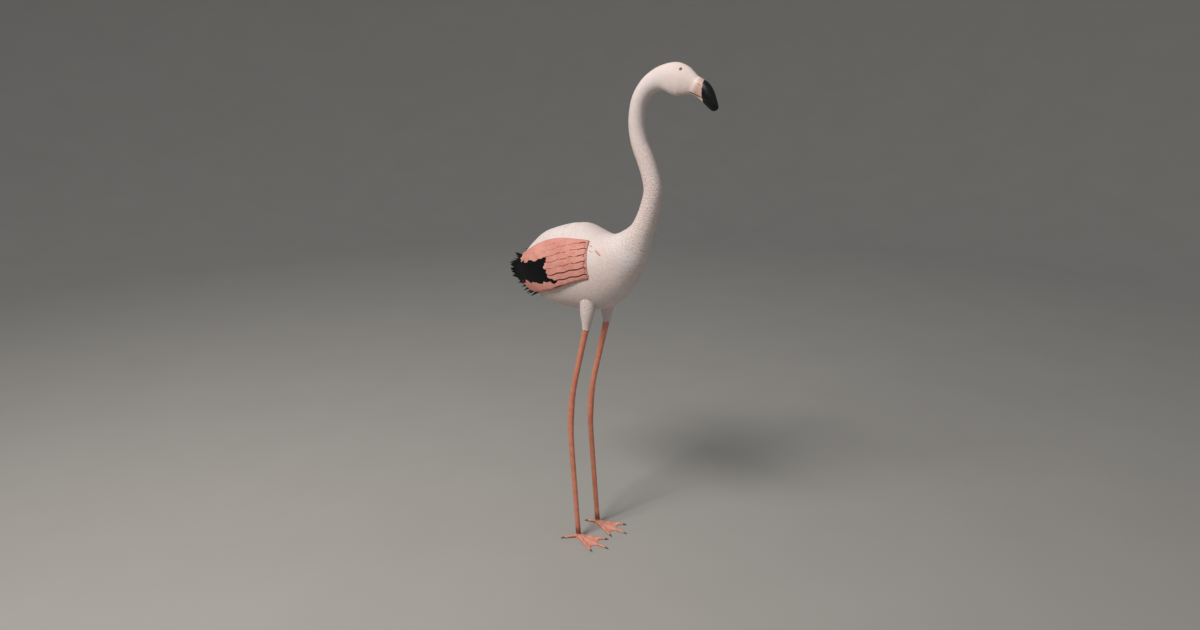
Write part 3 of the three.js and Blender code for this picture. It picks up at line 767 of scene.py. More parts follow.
def eye_material():
    nodes = Nodes("eye_iris")
    out = nodes.number("out")
    fleck = nodes.mottle(1500)
    ring = nodes.blend(nodes.ramp(out, *IRIS_REACH), nodes.blend(fleck, IRIS, IRIS_DEEP), IRIS_RIM)
    colour = nodes.blend(nodes.ramp(out, *PUPIL_REACH), ring, PUPIL)
    nodes.relief(nodes.noise(1800, 2), 0.1, 0.0001)
    return nodes.done(colour, nodes.ramp(fleck, 0, 1, 0.1, 0.14), Coat_Weight=1.0, Coat_Roughness=0.03)


FEATHERS, SKIN = feather_material(), skin_material()
BILL_HORN, CLAW_HORN, EYEBALL = bill_material(), claw_material(), eye_material()

# ---------------------------------------------------------------- skin

# By distance from the face: the coat's depth, and the spacing of the skin's rings.
COAT_DEPTH = [
    (0, 0.1), (8, 0.3), (40, 0.5), (110, 0.75), (300, 1.2), (600, 2.4), (720, 7), (1000, 8), (1100, 4),
]
RING_SPACING = [(0, 2.2), (110, 2.2), (160, 4), (560, 5), (700, 8)]
EYE_RING_SPACING, EYE_RING_REACH = 0.62, 22
BODY_CORNERS = 128
EYE_CROWD, EYE_CROWD_REACH = 2.6, 0.28
HEAD_REACH = 70  # the eyes' folds lie within this distance of the face
SOCKET_DEPTH = 2.0
LID_FOLD, LID_FOLD_PITCH, LID_FOLD_REACH = 0.12, 1.25, 1.5


def coat_depth(distance):
    return graded(COAT_DEPTH, distance)


def spaced(start, end, spacing):
    """Places from start to end whose spacing is a function of the place."""
    places = [start]
    while places[-1] < end:
        places.append(places[-1] + spacing(places[-1]))
    places = np.array(places)
    return start + (places - start) * (end - start) / (places[-1] - start)


def eye_frame():
    """Where the head's surface is nearest to the left eyeball: its distance, its turn and the way out."""
    distance, turn = np.meshgrid(np.linspace(0, 80, 321), np.linspace(0, math.pi, 361), indexing="ij")
    away = body_surface(distance, turn, 0) - EYE
    gap = np.linalg.norm(away, axis=-1)
    nearest = np.unravel_index(gap.argmin(), gap.shape)
    return distance[nearest], turn[nearest], away[nearest] / gap[nearest]


EYE_DISTANCE, EYE_TURN, EYE_AXIS = eye_frame()


def from_eye(points):
    """Height over the nearer eyeball's centre along its axis, and distance from that axis."""
    away = np.stack([np.abs(points[..., 0]), points[..., 1], points[..., 2]], -1) - EYE
    high = away @ EYE_AXIS
    off_axis = np.linalg.norm(away - high[..., None] * EYE_AXIS, axis=-1)
    return high, np.where(high > 0, off_axis, 99.0)


def crowded_turns(count):
    """Angles round a ring, crowded near both eyes."""
    fine = np.linspace(-math.pi, math.pi, 2001)
    density = 1 + EYE_CROWD * np.exp(-(((np.abs(fine) - EYE_TURN) / EYE_CROWD_REACH) ** 2))
    travel = running_total((density[1:] + density[:-1]) / 2)
    return np.interp(np.linspace(0, 1, count, endpoint=False), travel / travel[-1], fine)


def eye_folds(points):
    """Press the eyes' sockets into the head and raise the lids round them."""
    high, r = from_eye(points)
    ball = np.sqrt(np.maximum(EYE_RADIUS**2 - r**2, 0))
    bare = high + EYE_SWELL * smooth(r, EYE_OUTER, EYE_INNER)
    wave = np.cos(FULL_TURN * (r - LID_OPENING) / LID_FOLD_PITCH)
    folds = LID_FOLD * wave * bump_at(r, BARE_RING, LID_FOLD_REACH)
    lid = mix(ball + 0.5, bare, smooth(r, LID_OPENING + 0.4, 6.3)) + folds
    new = mix(SOCKET_DEPTH, lid, smooth(r, LID_OPENING - 0.5, LID_OPENING + 0.15))
    outwards = np.where(points[..., :1] < 0, EYE_AXIS * (-1, 1, 1), EYE_AXIS)
    return points + outwards * np.where(r < EYE_OUTER, new - high, 0)[..., None]


def body_skin():
    def spacing(distance):
        near_eye = bump_at(distance, EYE_DISTANCE, EYE_RING_REACH)
        return mix(graded(RING_SPACING, distance), EYE_RING_SPACING, min(near_eye * 1.6, 1))

    distances = np.concatenate([[0, 0.1, 0.3, 0.8], spaced(1.6, BODY_LENGTH, spacing)])
    even = np.linspace(-math.pi, math.pi, BODY_CORNERS, endpoint=False)
    turns = mix(even[None], crowded_turns(BODY_CORNERS)[None], smooth(distances, 110, 55)[:, None])
    points = body_surface(distances[:, None], turns, -coat_depth(distances)[:, None])
    return loft(np.where((distances < HEAD_REACH)[:, None, None], eye_folds(points), points))


def wing_skin(side):
    rings, count = [], 22
    shares = np.linspace(0, 1, count)
    for y in np.linspace(WING_FRONT + 1.5, WING_REAR - 10, 46):
        thick = wing_at(y)[7] * mix(0.35, 1, np.sin(np.pi * shares))
        outer = wing_point(side, np.full(count, y), shares, np.minimum(0.42 * thick, 4.2))
        inner = wing_point(side, np.full(count, y), shares[::-1], thick + 5)
        rings.append(np.concatenate([outer, inner]))
    return loft(rings)


def tube_loft(surface, distances, corners, height=0.0):
    return loft(surface(np.asarray(distances)[:, None], round_turns(corners)[None], height))


LEG_HIDDEN = 34  # how far the bare leg runs up inside the thigh
THIGH_DEPTH = -1.9  # height of the thigh's skin over its outer shape


def leg_path():
    """The bare leg's centre line and radii, as a function of the distance from the feathers' end."""
    end, hock, toes = (np.array(p, float) for p in (FEATHER_END, HOCK, TOE_JOINT))
    above = mix(hock, end, HOCK_BEND / np.linalg.norm(hock - end))
    below = mix(hock, toes, HOCK_BEND / np.linalg.norm(hock - toes))
    t = np.linspace(0, 1, 500)[:, None]
    bend = (1 - t) ** 2 * above + 2 * t * (1 - t) * hock + t * t * below
    hidden = end + unit(end - hock) * LEG_HIDDEN
    line = np.concatenate([mix(hidden, above, t[:-1]), bend, mix(below, toes, t[1:])])
    travel = travelled(line) - LEG_HIDDEN
    radii = keyed(LEG_RADII)(travel / travel[-1])[:, 1:]
    return travel, np.concatenate([line, radii], axis=1)


LEG_TRAVEL, LEG_CURVE = leg_path()


def leg_row(distance):
    """Centre and radii of the bare leg at a distance along it."""
    return np.stack([np.interp(distance, LEG_TRAVEL, values) for values in LEG_CURVE.T], -1)


def leg_surface(side):
    @on_arrays
    def surface(distance, turn, height):
        rows = leg_row(distance)
        along = unit((leg_row(distance + 4) - leg_row(distance - 4))[..., :3])
        return round_line(rows[..., :3], along, rows[..., 3], rows[..., 4], turn, height) * (side, 1, 1)

    return surface


def hexagons(a, b, pitch):
    """How near each point is to the border of its hexagonal scale: 0 in the middle, 1 on the border."""
    nearest = np.full(np.shape(a), 9.0)
    for shift in (0, 0.5):
        da = (a / pitch + shift) % 1 - 0.5
        db = (b / (pitch * 1.732) + shift) % 1 - 0.5
        nearest = np.minimum(nearest, np.hypot(da, db * 1.732))
    return smooth(nearest, 0.36, 0.52)


SCUTE_PITCH, SCALE_PITCH, TOE_PLATE_PITCH = 7.4, 4.2, 3.6
LEG_GROOVE, TOE_GROOVE = 0.34, 0.0003  # depths, in millimetres and in metres
HOCK_TRAVEL, HOCK_SCALES = 292, 46  # the hock has scales all round
LEG_RING_SPACING, LEG_CORNERS = 1.25, 48


def leg_grooves(distance, turn):
    """Broad plates down the front of the leg, small six-sided scales round its sides and back."""
    wave = 1.4 * np.cos(turn * 2)
    plates = smooth(np.abs(((distance + wave) / SCUTE_PITCH) % 1 - 0.5) * 2, 0.80, 0.97)
    plate_sides = bump_at(np.sin(turn), 0.42, 0.10)
    small = hexagons(distance, turn * 8.5, SCALE_PITCH)
    off_hock = 1 - bump_at(distance, HOCK_TRAVEL, HOCK_SCALES)
    front = smooth(np.sin(turn), 0.38, 0.46) * off_hock
    return np.maximum(mix(small, plates, front), 0.7 * plate_sides * off_hock)


def leg_skin(side):
    distances = spaced(LEG_TRAVEL[0] + 0.5, LEG_TRAVEL[-1] - 0.5, lambda _: LEG_RING_SPACING)
    d, a = np.meshgrid(distances, round_turns(LEG_CORNERS), indexing="ij")
    return loft(leg_surface(side)(d, a, -leg_grooves(d, a) * LEG_GROOVE * smooth(d, -10, 10)))


def toe_way(degrees):
    """The level direction of a toe."""
    a = math.radians(degrees)
    return np.array([math.sin(a), -math.cos(a), 0])


def toe_skin(degrees, length):
    """A toe with a swelling at each pad, its root lifted to the ankle."""
    share = np.linspace(0, 1, 34)
    along = toe_way(degrees)
    radius = mix(*TOE_RADII, share) - 0.7 * np.cos(share * 6 * math.pi)
    centre = ANKLE_SPOT + along * (length * share)[:, None]
    centre[:, 2] = radius - TOE_SINK + TOE_ROOT_LIFT * np.maximum(0, 1 - share / 0.25) ** 2
    radius[-3:] *= (0.97, 0.9, 0.72)
    across = np.cross([0, 0, 1], along)
    turns = round_turns(16)
    ring = np.cos(turns)[:, None] * across * 1.12 + np.sin(turns)[:, None] * np.array([0, 0, 1])
    return loft(centre[:, None] + radius[:, None, None] * ring)


def web_skin(first, second):
    """The skin between two toes: a thin sheet with a hollow front edge."""
    tips = [ANKLE_SPOT + toe_way(degrees) * length * WEB_REACH for degrees, length in (first, second)]
    hollow = mix(mix(*tips, 0.5), ANKLE_SPOT, WEB_NOTCH)
    t = np.linspace(0, 1, 18)[:, None]
    edge = (1 - t) ** 2 * tips[0] + 2 * t * (1 - t) * hollow + t * t * tips[1]
    low, high = (0, 0, WEB_FLOOR), (0, 0, WEB_FLOOR + WEB_THICKNESS)
    roots = mix(ANKLE_SPOT, edge, 0.06)
    return loft(np.stack([roots + low, edge + low, edge + high, roots + high], 1))


def claw_mesh(start, along, radius):
    """A curved tapering claw that comes down to the floor at its tip."""
    start, along = np.array(start, float), np.array(along, float)
    across = unit(np.cross([0, 0, 1], along))
    t = np.concatenate([[0], np.linspace(0.06, 0.93, 14), [0.98, 1]])
    size = mix(radius, CLAW_TIP, t)
    size[[0, -2, -1]] *= (0.9, 0.7, 0.25)
    at = start + along * (CLAW_LENGTH * t)[:, None]
    at[:, 2] = mix(start[2], CLAW_TIP + 0.1, t**1.5) + 0.5 * np.sin(np.pi * t)
    turns = round_turns(14)
    narrow = 1 - 0.25 * np.maximum(np.sin(turns), 0)
    ring = (np.cos(turns) * narrow)[:, None] * across + np.sin(turns)[:, None] * np.array([0, 0, 1])
    return loft(at[:, None] + size[:, None, None] * ring)


def hallux_line(side):
    """Start, end and direction of a hind toe, all before the right one's mirroring."""
    turn = math.radians(HALLUX_TURN[side])
    along = np.array([-side * math.sin(turn), math.cos(turn), 0])
    start = ANKLE_SPOT + (0, 0, HALLUX_HEIGHT) + along * HALLUX_START
    return start, start + along * HALLUX_LENGTH[side] - (0, 0, HALLUX_DROP), along


HALLUX_ROWS = [(-0.4, 4.6, 4.6), (0, 4.4, 4.4), (0.35, 3.8, 3.8), (0.8, 3.6, 3.6), (1, 3.0, 3.0)]
FOOT_VOXEL, FOOT_VOXEL_QUICK = 0.00105, 0.0017


def knuckle_skin():
    """The end of the shank, which widens down to the toes' roots: centre, radius across, radius along y."""
    toes, hock = np.array(TOE_JOINT, float), np.array(HOCK, float)
    rows = [
        (*mix(hock, toes, 0.91), 7.3, 7.9), (*mix(hock, toes, 0.95), 7.5, 8.1),
        (*(toes + (0, 0.2, 4)), 7.8, 8.2), (*(toes + (0, -2, -4)), 9, 9.4),
        (*(ANKLE_SPOT + (0, -5, -3)), 10.5, 11.5),
    ]
    table = through(rows)(np.linspace(0, 4, 22))[:, None]
    turns = round_turns(24)[None, :, None]
    ring = np.cos(turns) * np.array([1.0, 0, 0]) * table[..., 3:4]
    return loft(table[..., :3] + (ring + np.sin(turns) * np.array([0, -1.0, 0]) * table[..., 4:5]))


def toe_grooves(x, y, z):
    """Plates across the top of each toe, 1 in the grooves between them."""
    relief = np.zeros(len(x))
    for degrees, length in TOES.values():
        ahead, aside = toe_way(degrees)[:2]
        forward = (x - ANKLE_SPOT[0]) * ahead + (y - ANKLE_SPOT[1]) * aside
        sideways = (y - ANKLE_SPOT[1]) * ahead - (x - ANKLE_SPOT[0]) * aside
        half = mix(6.2, 4, np.clip(forward / length, 0, 1))
        on_toe = (np.abs(sideways) < half) & (forward > 12) & (z > 2.8)
        plate = smooth(np.abs((forward / TOE_PLATE_PITCH) % 1 - 0.5) * 2, 0.7, 0.98)
        relief = np.where(on_toe, np.maximum(relief, plate), relief)
    return relief


def foot_skin(side):
    """Toes, webs, knuckle and hind toe as one rounded skin."""
    pieces = [knuckle_skin()]
    pieces += [toe_skin(degrees, length) for degrees, length in TOES.values()]
    pieces += [web_skin(TOES["inner"], TOES["middle"]), web_skin(TOES["middle"], TOES["outer"])]
    hind_start, hind_end, _ = hallux_line(side)
    hind, length = tube_surface(hind_start, hind_end, HALLUX_ROWS)
    pieces.append(tube_loft(hind, np.linspace(-8, length, 20), 14))
    foot = merged([object_from("part", mirrored(piece, side)) for piece in pieces], "foot_skin")
    remesh = foot.modifiers.new("remesh", "REMESH")
    remesh.mode = "VOXEL"
    remesh.voxel_size = FOOT_VOXEL
    soften = foot.modifiers.new("soften", "SMOOTH")
    soften.factor, soften.iterations = 0.5, 5
    evaluated(foot)
    points = vertices_of(foot)
    x, y, z = in_feet_frame(foot).T
    points[:, 2] = np.maximum(points[:, 2] - toe_grooves(x * side, y, z) * TOE_GROOVE, 0)
    write(foot.data.vertices, "co", points)
    return foot


def relax(made, weights, rounds):
    """Even out the surface where the weights are above 0, moving each point towards its neighbours."""
    a, b = read(made.data.edges, "vertices", 2, np.int32).T
    points = vertices_of(made)
    keep = (weights[a] > 0) | (weights[b] > 0)
    pairs = (a[keep], b[keep]), (b[keep], a[keep])
    count = sum(np.bincount(ends, minlength=len(points)) for ends, _ in pairs)
    for _ in range(rounds):
        total = sum(
            np.stack([np.bincount(ends, points[others, axis], len(points)) for axis in range(3)], -1)
            for ends, others in pairs
        )
        middle = total / np.maximum(count, 1)[:, None]
        points = points + (middle - points) * (0.6 * weights)[:, None]
    write(made.data.vertices, "co", points)
    made.data.update()


def salmon_front(z):
    """Where the salmon begins on the folded wing: a straight edge that leans back towards its top."""
    return -75.5 + 0.18 * (z - 855)


def wing_marks(y, z):
    """Salmon and black on the folded wing, by the side view."""
    black = inside(y, z, BLACK_PATCH)
    return (y > salmon_front(z)) & ~black, black


WING_COVER_END = WING_REAR - 30  # behind this the wing's tip stands clear of the trunk


def under_wing(points, margin, ahead):
    """Whether points lie under a folded wing: margin inside its edges and ahead behind its front."""
    x, y, z = apart(points)
    _, middle, half, up, down, top, low, _ = apart(wing_at(np.clip(y, WING_FRONT, WING_REAR)))
    reach = np.where(z > middle, up, down)
    turn = np.degrees(np.arctan2(np.abs(x) / half, (z - middle) / reach))
    across = (turn - top) / (low - top)
    return (across > margin) & (across < 1 - margin) & (y > salmon_front(z) + ahead) & (y < WING_COVER_END)


# Heights at which the skin's finish changes.
LEG_TOP, LEG_CLEAR = (712, 700), 600
ANKLE_TOP, ANKLE_LOW = (48, 24), (12, 18)
FOOT_TOP, GROOVE_LOW = (40, 14), (30, 50)
HEAD_LEVEL = 1300


def mark_skin(skin, points):
    """Store the numbers that the skin's material reads, by where its points are before they are relaxed."""
    x, y, z = points.T
    r = from_eye(points)[1]
    off_bill = np.linalg.norm(points - (0, *body_at(BODY_END)[:2]), axis=1)
    pink, black = wing_marks(y, z)
    on_wing = under_wing(points, -0.04, 0) | ((y >= WING_COVER_END) & (np.abs(x) > RUMP_HALF))
    down, centre_x, centre_y = (
        np.interp(-z, -LEG_CURVE[:, 2], values) for values in (LEG_TRAVEL, *LEG_CURVE[:, :2].T)
    )
    groove = leg_grooves(down, np.arctan2(centre_y - y, np.abs(x) - centre_x))
    for name, values in {
        "leg": smooth(z, *LEG_TOP) * ((np.abs(x) > 20) | (z < LEG_CLEAR)),
        "ankle": smooth(z, *ANKLE_TOP) * smooth(z, *ANKLE_LOW),
        "foot": smooth(z, *FOOT_TOP),
        "bare": np.maximum(smooth(off_bill, 42, 24) * (z > HEAD_LEVEL), 0.5 * smooth(r, 7.4, BARE_RING)),
        "lid": bump_at(r, LID_OPENING + 0.2, 0.9),
        "pink": pink & on_wing,
        "black": black & on_wing,
        # Painted shade in the grooves between the leg's scales.
        "groove": groove * smooth(z, *GROOVE_LOW) * (z < LEG_TOP[1]) * 0.6,
    }.items():
        store(skin, name, values)


def build_skin():
    skin = object_from("bird_skin", body_skin())
    others = []
    for _, side in SIDES:
        others.append(object_from("wing", wing_skin(side)))
        thigh, length = tube_surface(KNEE, FEATHER_END, THIGH, side)
        distances = np.linspace(-0.2 * length, length, 44)
        others.append(object_from("thigh", tube_loft(thigh, distances, 40, THIGH_DEPTH)))
        others.append(object_from("leg", leg_skin(side)))
        others.append(foot_skin(side))
    join_solids(skin, others)
    points = in_feet_frame(skin)
    z = points[:, 2]
    ankles, hips = bump_at(z, 17, 15) * (z > 3), bump_at(z, 755, 45)
    relax(skin, np.maximum(ankles, hips), 8)
    mark_skin(skin, points)
    skin.data.materials.clear()
    skin.data.materials.append(SKIN)
    skin.data.shade_smooth()
    nodes = ["trunk", "neck_lower", "neck_middle", "neck_upper", "head"]
    for name, _ in SIDES:
        nodes += [f"{part}_{name}" for part in ("thigh", "shank", "hock", "tarsus", "foot", "hallux")]
    finish_piece(skin, "leg_skin", *nodes)


# ---------------------------------------------------------------- bill, eyes and claws


BILL_STEPS = 400
JAW_RINGS, JAW_CORNERS = 130, 84
NOSTRIL = (0.20, 0.07, 8, 10, 1.0, 0.6)  # share, half length, height, slope, half width, depth
JAW_GROOVE = {1: (3.2, 0.45), -1: (-3.4, 0.4)}  # height over the mouth line and depth, by jaw
JAW_GROOVE_HALF = 0.9
BASE_REACH = 0.22  # the bill takes the face's colour over this share of it


def bill_line():
    """Shares of the bill's length with its centres (y, z) and its upward angles."""
    at = body_at(BODY_END)[:2]
    step = at - body_at(BODY_END - ROW_STEP)[:2]
    base = math.degrees(math.atan2(-step[1], -step[0]))
    shares = np.linspace(0, 1, BILL_STEPS + 1)
    angles = np.radians(mix(base, BILL_TIP_ANGLE, smooth(shares, *BILL_BEND)))
    moves = np.stack([-np.cos(angles), -np.sin(angles)], -1) * BILL_LENGTH / BILL_STEPS
    return shares, at + running_total((moves[1:] + moves[:-1]) / 2), angles


def jaw_mesh(sign):
    """One jaw (1 is the upper, -1 the lower), with its painted shade along the mouth line and nostril slot,
    and how near its points are to the face.
    """
    line_shares, centres, angles = bill_line()
    share = np.concatenate([[-0.05, -0.02], np.linspace(0, 1, JAW_RINGS - 2) ** 0.92])
    clipped = np.clip(share, 0, 1)
    y, z, angle = (np.interp(clipped, line_shares, values) for values in (*centres.T, angles))
    back = (share - clipped) * BILL_LENGTH
    y, z = y - np.cos(angle) * back, z - np.sin(angle) * back
    _, ridge, keel, half, mouth = keyed(BILL)(clipped).T
    edge = mouth + sign * BILL_GAP / 2
    middle, reach = (ridge - keel) / 2, (ridge + keel) / 2
    start = np.arcsin((edge - middle) / reach)
    sweep = sign * np.pi - 2 * start
    turns = start[:, None] + sweep[:, None] * np.arange(JAW_CORNERS) / (JAW_CORNERS - 1)
    shrink = np.where(share < -0.03, 0.8, 1.005)[:, None]
    up = (middle[:, None] + reach[:, None] * np.sin(turns)) * shrink
    out = half[:, None] * np.cos(turns) * shrink
    s, over_edge = share[:, None], up - edge[:, None]
    at, half_length, height, slope, half_width, depth = NOSTRIL
    slot = np.exp(-(((up - height + slope * (s - at)) / half_width) ** 2))
    slot = (sign > 0) * np.exp(-(((s - at) / half_length) ** 4)) * slot
    groove_height, groove_depth = JAW_GROOVE[sign]
    groove = np.exp(-(((over_edge - groove_height) / JAW_GROOVE_HALF) ** 2))
    groove = groove * smooth(s, 0.03, 0.12) * smooth(s, 0.93, 0.8)
    out -= np.sign(out) * (depth * slot)
    out -= np.sign(out) * (groove_depth * groove)
    y, z = y[:, None] - np.sin(angle)[:, None] * up, z[:, None] + np.cos(angle)[:, None] * up
    # Where the bill takes painted shade: along the mouth line and in the nostril slot.
    dark = np.maximum(smooth(np.abs(over_edge), 1.5, 0.7), smooth(slot, 0.45, 0.8))
    return loft(np.stack([out, y, z], -1)), dark, smooth(s, BASE_REACH, 0.0) * np.ones_like(up)


def build_bill():
    for name, sign in (("bill_upper", 1), ("bill_lower", -1)):
        jaw, dark, base = jaw_mesh(sign)
        made = object_from(name + "_horn", jaw, BILL_HORN)
        store(made, "mouth", dark)
        store(made, "low", np.full(dark.size, sign < 0))
        store(made, "base", base)
        finish_piece(made, "bill", name)


def build_eyes():
    """An eyeball with its cornea standing a little out; out is the distance from its axis."""
    angles = np.concatenate([np.linspace(0.004, 1.2, 44), np.linspace(1.27, math.pi - 0.03, 16)])
    out, deep = EYE_RADIUS * np.sin(angles), EYE_RADIUS * np.cos(angles)
    deep = deep + 0.35 * (1 - smooth(out, 0.5, 3.6)) * (deep > 0)
    turns = round_turns(40)
    across = unit(np.cross(EYE_AXIS, (0, 0, 1)))
    circle = np.cos(turns)[:, None] * across + np.sin(turns)[:, None] * np.cross(EYE_AXIS, across)
    ball = loft(EYE + EYE_AXIS * deep[:, None, None] + circle * out[:, None, None])
    for name, side in SIDES:
        made = object_from(f"eyeball_{name}", mirrored(ball, side), EYEBALL)
        store(made, "out", np.repeat(np.where(deep > 0, out, 9), len(turns)))
        finish_piece(made, "eye", f"eye_{name}")


def build_claws():
    for name, side in SIDES:
        starts = {}
        for toe, (degrees, length) in TOES.items():
            along = toe_way(degrees)
            starts[toe] = ANKLE_SPOT + along * (length - 1.5) + (0, 0, CLAW_RADIUS + 0.4), along, CLAW_RADIUS
        _, end, along = hallux_line(side)
        starts["hallux"] = end - along * 0.6, along, HALLUX_RADIUS * 0.75
        for toe, start in starts.items():
            made = object_from(f"claw_{toe}_{name}_horn", mirrored(claw_mesh(*start), side), CLAW_HORN)
            finish_piece(made, "claw_horn", f"claw_{toe}_{name}")


# ---------------------------------------------------------------- coat

# By distance from the face.
FEATHER_LENGTH = [(0, 4.6), (30, 5.6), (110, 8), (300, 11), (560, 14), (680, 19), (800, 26), (1100, 29)]
BODY_ROW_GAP = 0.37  # the rows' and the feathers' distance, as a share of the feathers' length


def feather_length(distance):
    return graded(FEATHER_LENGTH, distance)


def rows_round(surface, start, end, row_gap, side_gap):
    """Staggered roots in rings round a surface whose cross place is an angle."""
    distance, roots, row = start, [], 0
    fine = np.linspace(-math.pi, math.pi, 181)
    while distance < end:
        travel = travelled(surface(np.full(181, distance), fine, 0.0))
        count = max(6, round(travel[-1] / side_gap(distance)))
        places = (np.arange(count) + 0.5 * (row % 2) + rng.uniform(-0.35, 0.35, count)) / count * travel[-1]
        along = distance + rng.uniform(-0.42, 0.42, count) * row_gap(distance)
        roots.append(np.stack([along, np.interp(places % travel[-1], travel, fine)], -1))
        distance += row_gap(distance)
        row += 1
    return np.concatenate(roots).T


# Distance, turn, direction in degrees from straight back towards the spine, length, width.
STREAKS = ((658, 1.33, 62, 22, 6.5), (672, 1.0, 33, 17, 3.5), (680, 1.16, 40, 12, 2.5))


def shoulder_streaks():
    """The few narrow salmon feathers ahead of each folded wing."""
    rows = [
        (distance, side * turn, -side * math.radians(way), *size)
        for _, side in SIDES for distance, turn, way, *size in STREAKS
    ]
    along, turn, direction, length, width = np.array(rows).T
    group = coat(
        body_surface, along, turn, turn=direction, length=length, width=width, depth=0.3, lift=1.0,
        camber=0.1, thick=0.4, rows=8, pointed=0.6,
    )
    return mark(group, pink=1)


# How far behind the eye's ring and the wing's front a feather's root, middle and tip stay.
BARE_SPOTS = ((0, 2), (0.5, 9), (1, 18))


def build_body_coat():
    """Head, neck and trunk, whose feathers grow from tiny at the face to broad on the back."""

    def gap(distance):
        return feather_length(distance) * BODY_ROW_GAP

    head_end, neck_end = body_distance(HEAD_START), body_distance(NECK_START)
    for name, start, end, rows in (
        ("coat_head", 7.0, head_end, 5),
        ("coat_neck", head_end, neck_end, 5),
        ("coat_trunk", neck_end, BODY_LENGTH - 6, 7),
    ):
        along, turn = rows_round(body_surface, start, end, gap, gap)
        length = feather_length(along) * rng.uniform(0.9, 1.1, len(along))
        root, tip = body_surface(along, turn, 0), body_surface(along + length, turn, 0)
        keep = np.ones(len(along), bool)
        for share, ahead in BARE_SPOTS:
            spot = mix(root, tip, share)
            keep &= (from_eye(spot)[1] > BARE_RING) & ~under_wing(spot, 0.02, ahead)
        along, turn, length = along[keep], turn[keep], length[keep]
        at_bill = smooth(along, 14, 7)
        at_eye = smooth(from_eye(body_surface(along, turn, 0))[1], EYE_OUTER, EYE_INNER)
        group = coat(
            body_surface, along, turn, turn=rng.normal(0, 0.06, len(along)), length=length,
            width=feather_length(along) * 0.78,
            depth=np.minimum(coat_depth(along) * 0.8, length * 0.055) + 0.5 * at_bill + 0.9 * at_eye,
            rows=rows, camber=0.008 * length.mean(), thick=0.13, ragged=0.04, pointed=0.3,
        )
        groups = [group, shoulder_streaks()] if name == "coat_trunk" else [group]
        coat_piece(
            name, groups, lambda _, u, v: ((u - start) / (end - start), v / FULL_TURN + 0.5), "white_plumage"
        )


def build_thigh_coat():
    groups = []
    for _, side in SIDES:
        thigh, reach = tube_surface(KNEE, FEATHER_END, THIGH, side)
        along, turn = rows_round(thigh, -0.17 * reach, reach - 5, lambda _: 4.4, lambda _: 4.2)
        length = mix(13, 9, along / reach) * rng.uniform(0.85, 1.15, len(along))
        groups.append(coat(
            thigh, along, turn, turn=rng.normal(0, 0.08, len(along)), length=length, width=length * 0.72,
            depth=1.2, lift=mix(0.0, 0.4, along / reach), rows=5, camber=0.12, thick=0.2, ragged=0.08,
        ))
    coat_piece(
        "coat_thighs", groups,
        lambda k, u, v: ((u + 20) / 150, (v % FULL_TURN) / FULL_TURN * 0.48 + 0.5 * k), "white_plumage",
    )


WING_ROWS = 13  # rows of coverts across the wing
ROW_SWING = (0.2, -0.3)  # how far the rows lean down towards the rear, at the top edge and per share below it
# The dark lines along the coverts are painted shade where one row overlaps the next.
FIRST_SHADE_ROW = 0.9  # the first dark line, in rows from the top; the others follow every second row
# Strength of the painted shade lines along the coverts, by row from the top.
ROW_SHADE_STRENGTH = [(0, 0.2), (2, 0.34), (5, 0.34), (6.5, 0.22), (7.6, 0.5), (8.3, 1), (13, 1)]
# By distance from the wing's front edge.
COVERT_END = 312
COVERT_GAP = [(0, 11), (20, 17), (60, 26), (310, 28)]
COVERT_LENGTH = [(0, 30), (20, 44), (60, 66), (170, 74), (310, 46)]
COVERT_MARK = 0.72  # a covert takes its colour from the patch at this share of its length


def row_run(distance):
    return 1.35 * smooth(distance, -40, 190) - 0.3


def row_place(row, distance):
    """Where a row of coverts lies across the wing."""
    share = (row + 0.5) / WING_ROWS
    return share + (ROW_SWING[0] + ROW_SWING[1] * share) * row_run(distance)


def row_at(distance, across):
    """The row that lies at a place on the wing: row_place turned round."""
    run = row_run(distance)
    return (across - ROW_SWING[0] * run) / (1 + ROW_SWING[1] * run) * WING_ROWS - 0.5


def wing_group(side):
    """The covert feathers of a folded wing, in rows from its front edge to its rear."""
    surface = wing_surface(side)
    places = []
    for row in range(-5, WING_ROWS + 3):
        distance = 1 + 8 * ((row * 0.37) % 1)
        while distance < COVERT_END:
            spot = row_place(row, distance)
            if -0.03 < spot < 0.995:
                places.append((distance, spot, row))
            distance += graded(COVERT_GAP, distance) * rng.uniform(0.85, 1.15)
    along, across, row = np.array(places, float).T
    length = graded(COVERT_LENGTH, along) * rng.uniform(0.92, 1.08, len(along))
    half_row = 0.5 / WING_ROWS
    pitch = surface(along, across + half_row, 0) - surface(along, across - half_row, 0)
    pitch = np.linalg.norm(pitch, axis=-1)
    slope = (row_place(row, along + 0.5 * length) - row_place(row, along)) / (0.5 * length)
    turn = np.arctan(slope * pitch * WING_ROWS) + rng.normal(0, 0.012, len(along))
    seen = surface(along + COVERT_MARK * length, across + COVERT_MARK * length * slope, 0)
    _, black = wing_marks(seen[:, 1], seen[:, 2])
    group = coat(
        surface, along, across, turn=turn, length=length, width=pitch * 1.7,
        depth=1.5, lift=0.2, roll=0.3, camber=0.1, thick=0.3, rows=12, columns=5,
        pointed=np.where(black, 0.8, 0.15), ragged=0.05,
    )
    mark(group, pink=~black, black=black)
    distance, spot = group["place"]
    at, y = row_at(distance, spot), group["points"][:, 1]
    # Painted shade lines: strongest low on the wing and at its front edge, fading towards the rear and off
    # the black.
    strength = np.maximum(graded(ROW_SHADE_STRENGTH, at), 0.55 * smooth(y, -20, -42))
    fade = smooth(y, 122, 82) * mix(1, smooth(y, 62, 30), smooth(at, 8, 9.5))
    group["line"] = strength * fade * (1 - group["black"])
    group["row"] = at - FIRST_SHADE_ROW + 1 + 0.13 * np.sin(distance / 7)
    return group


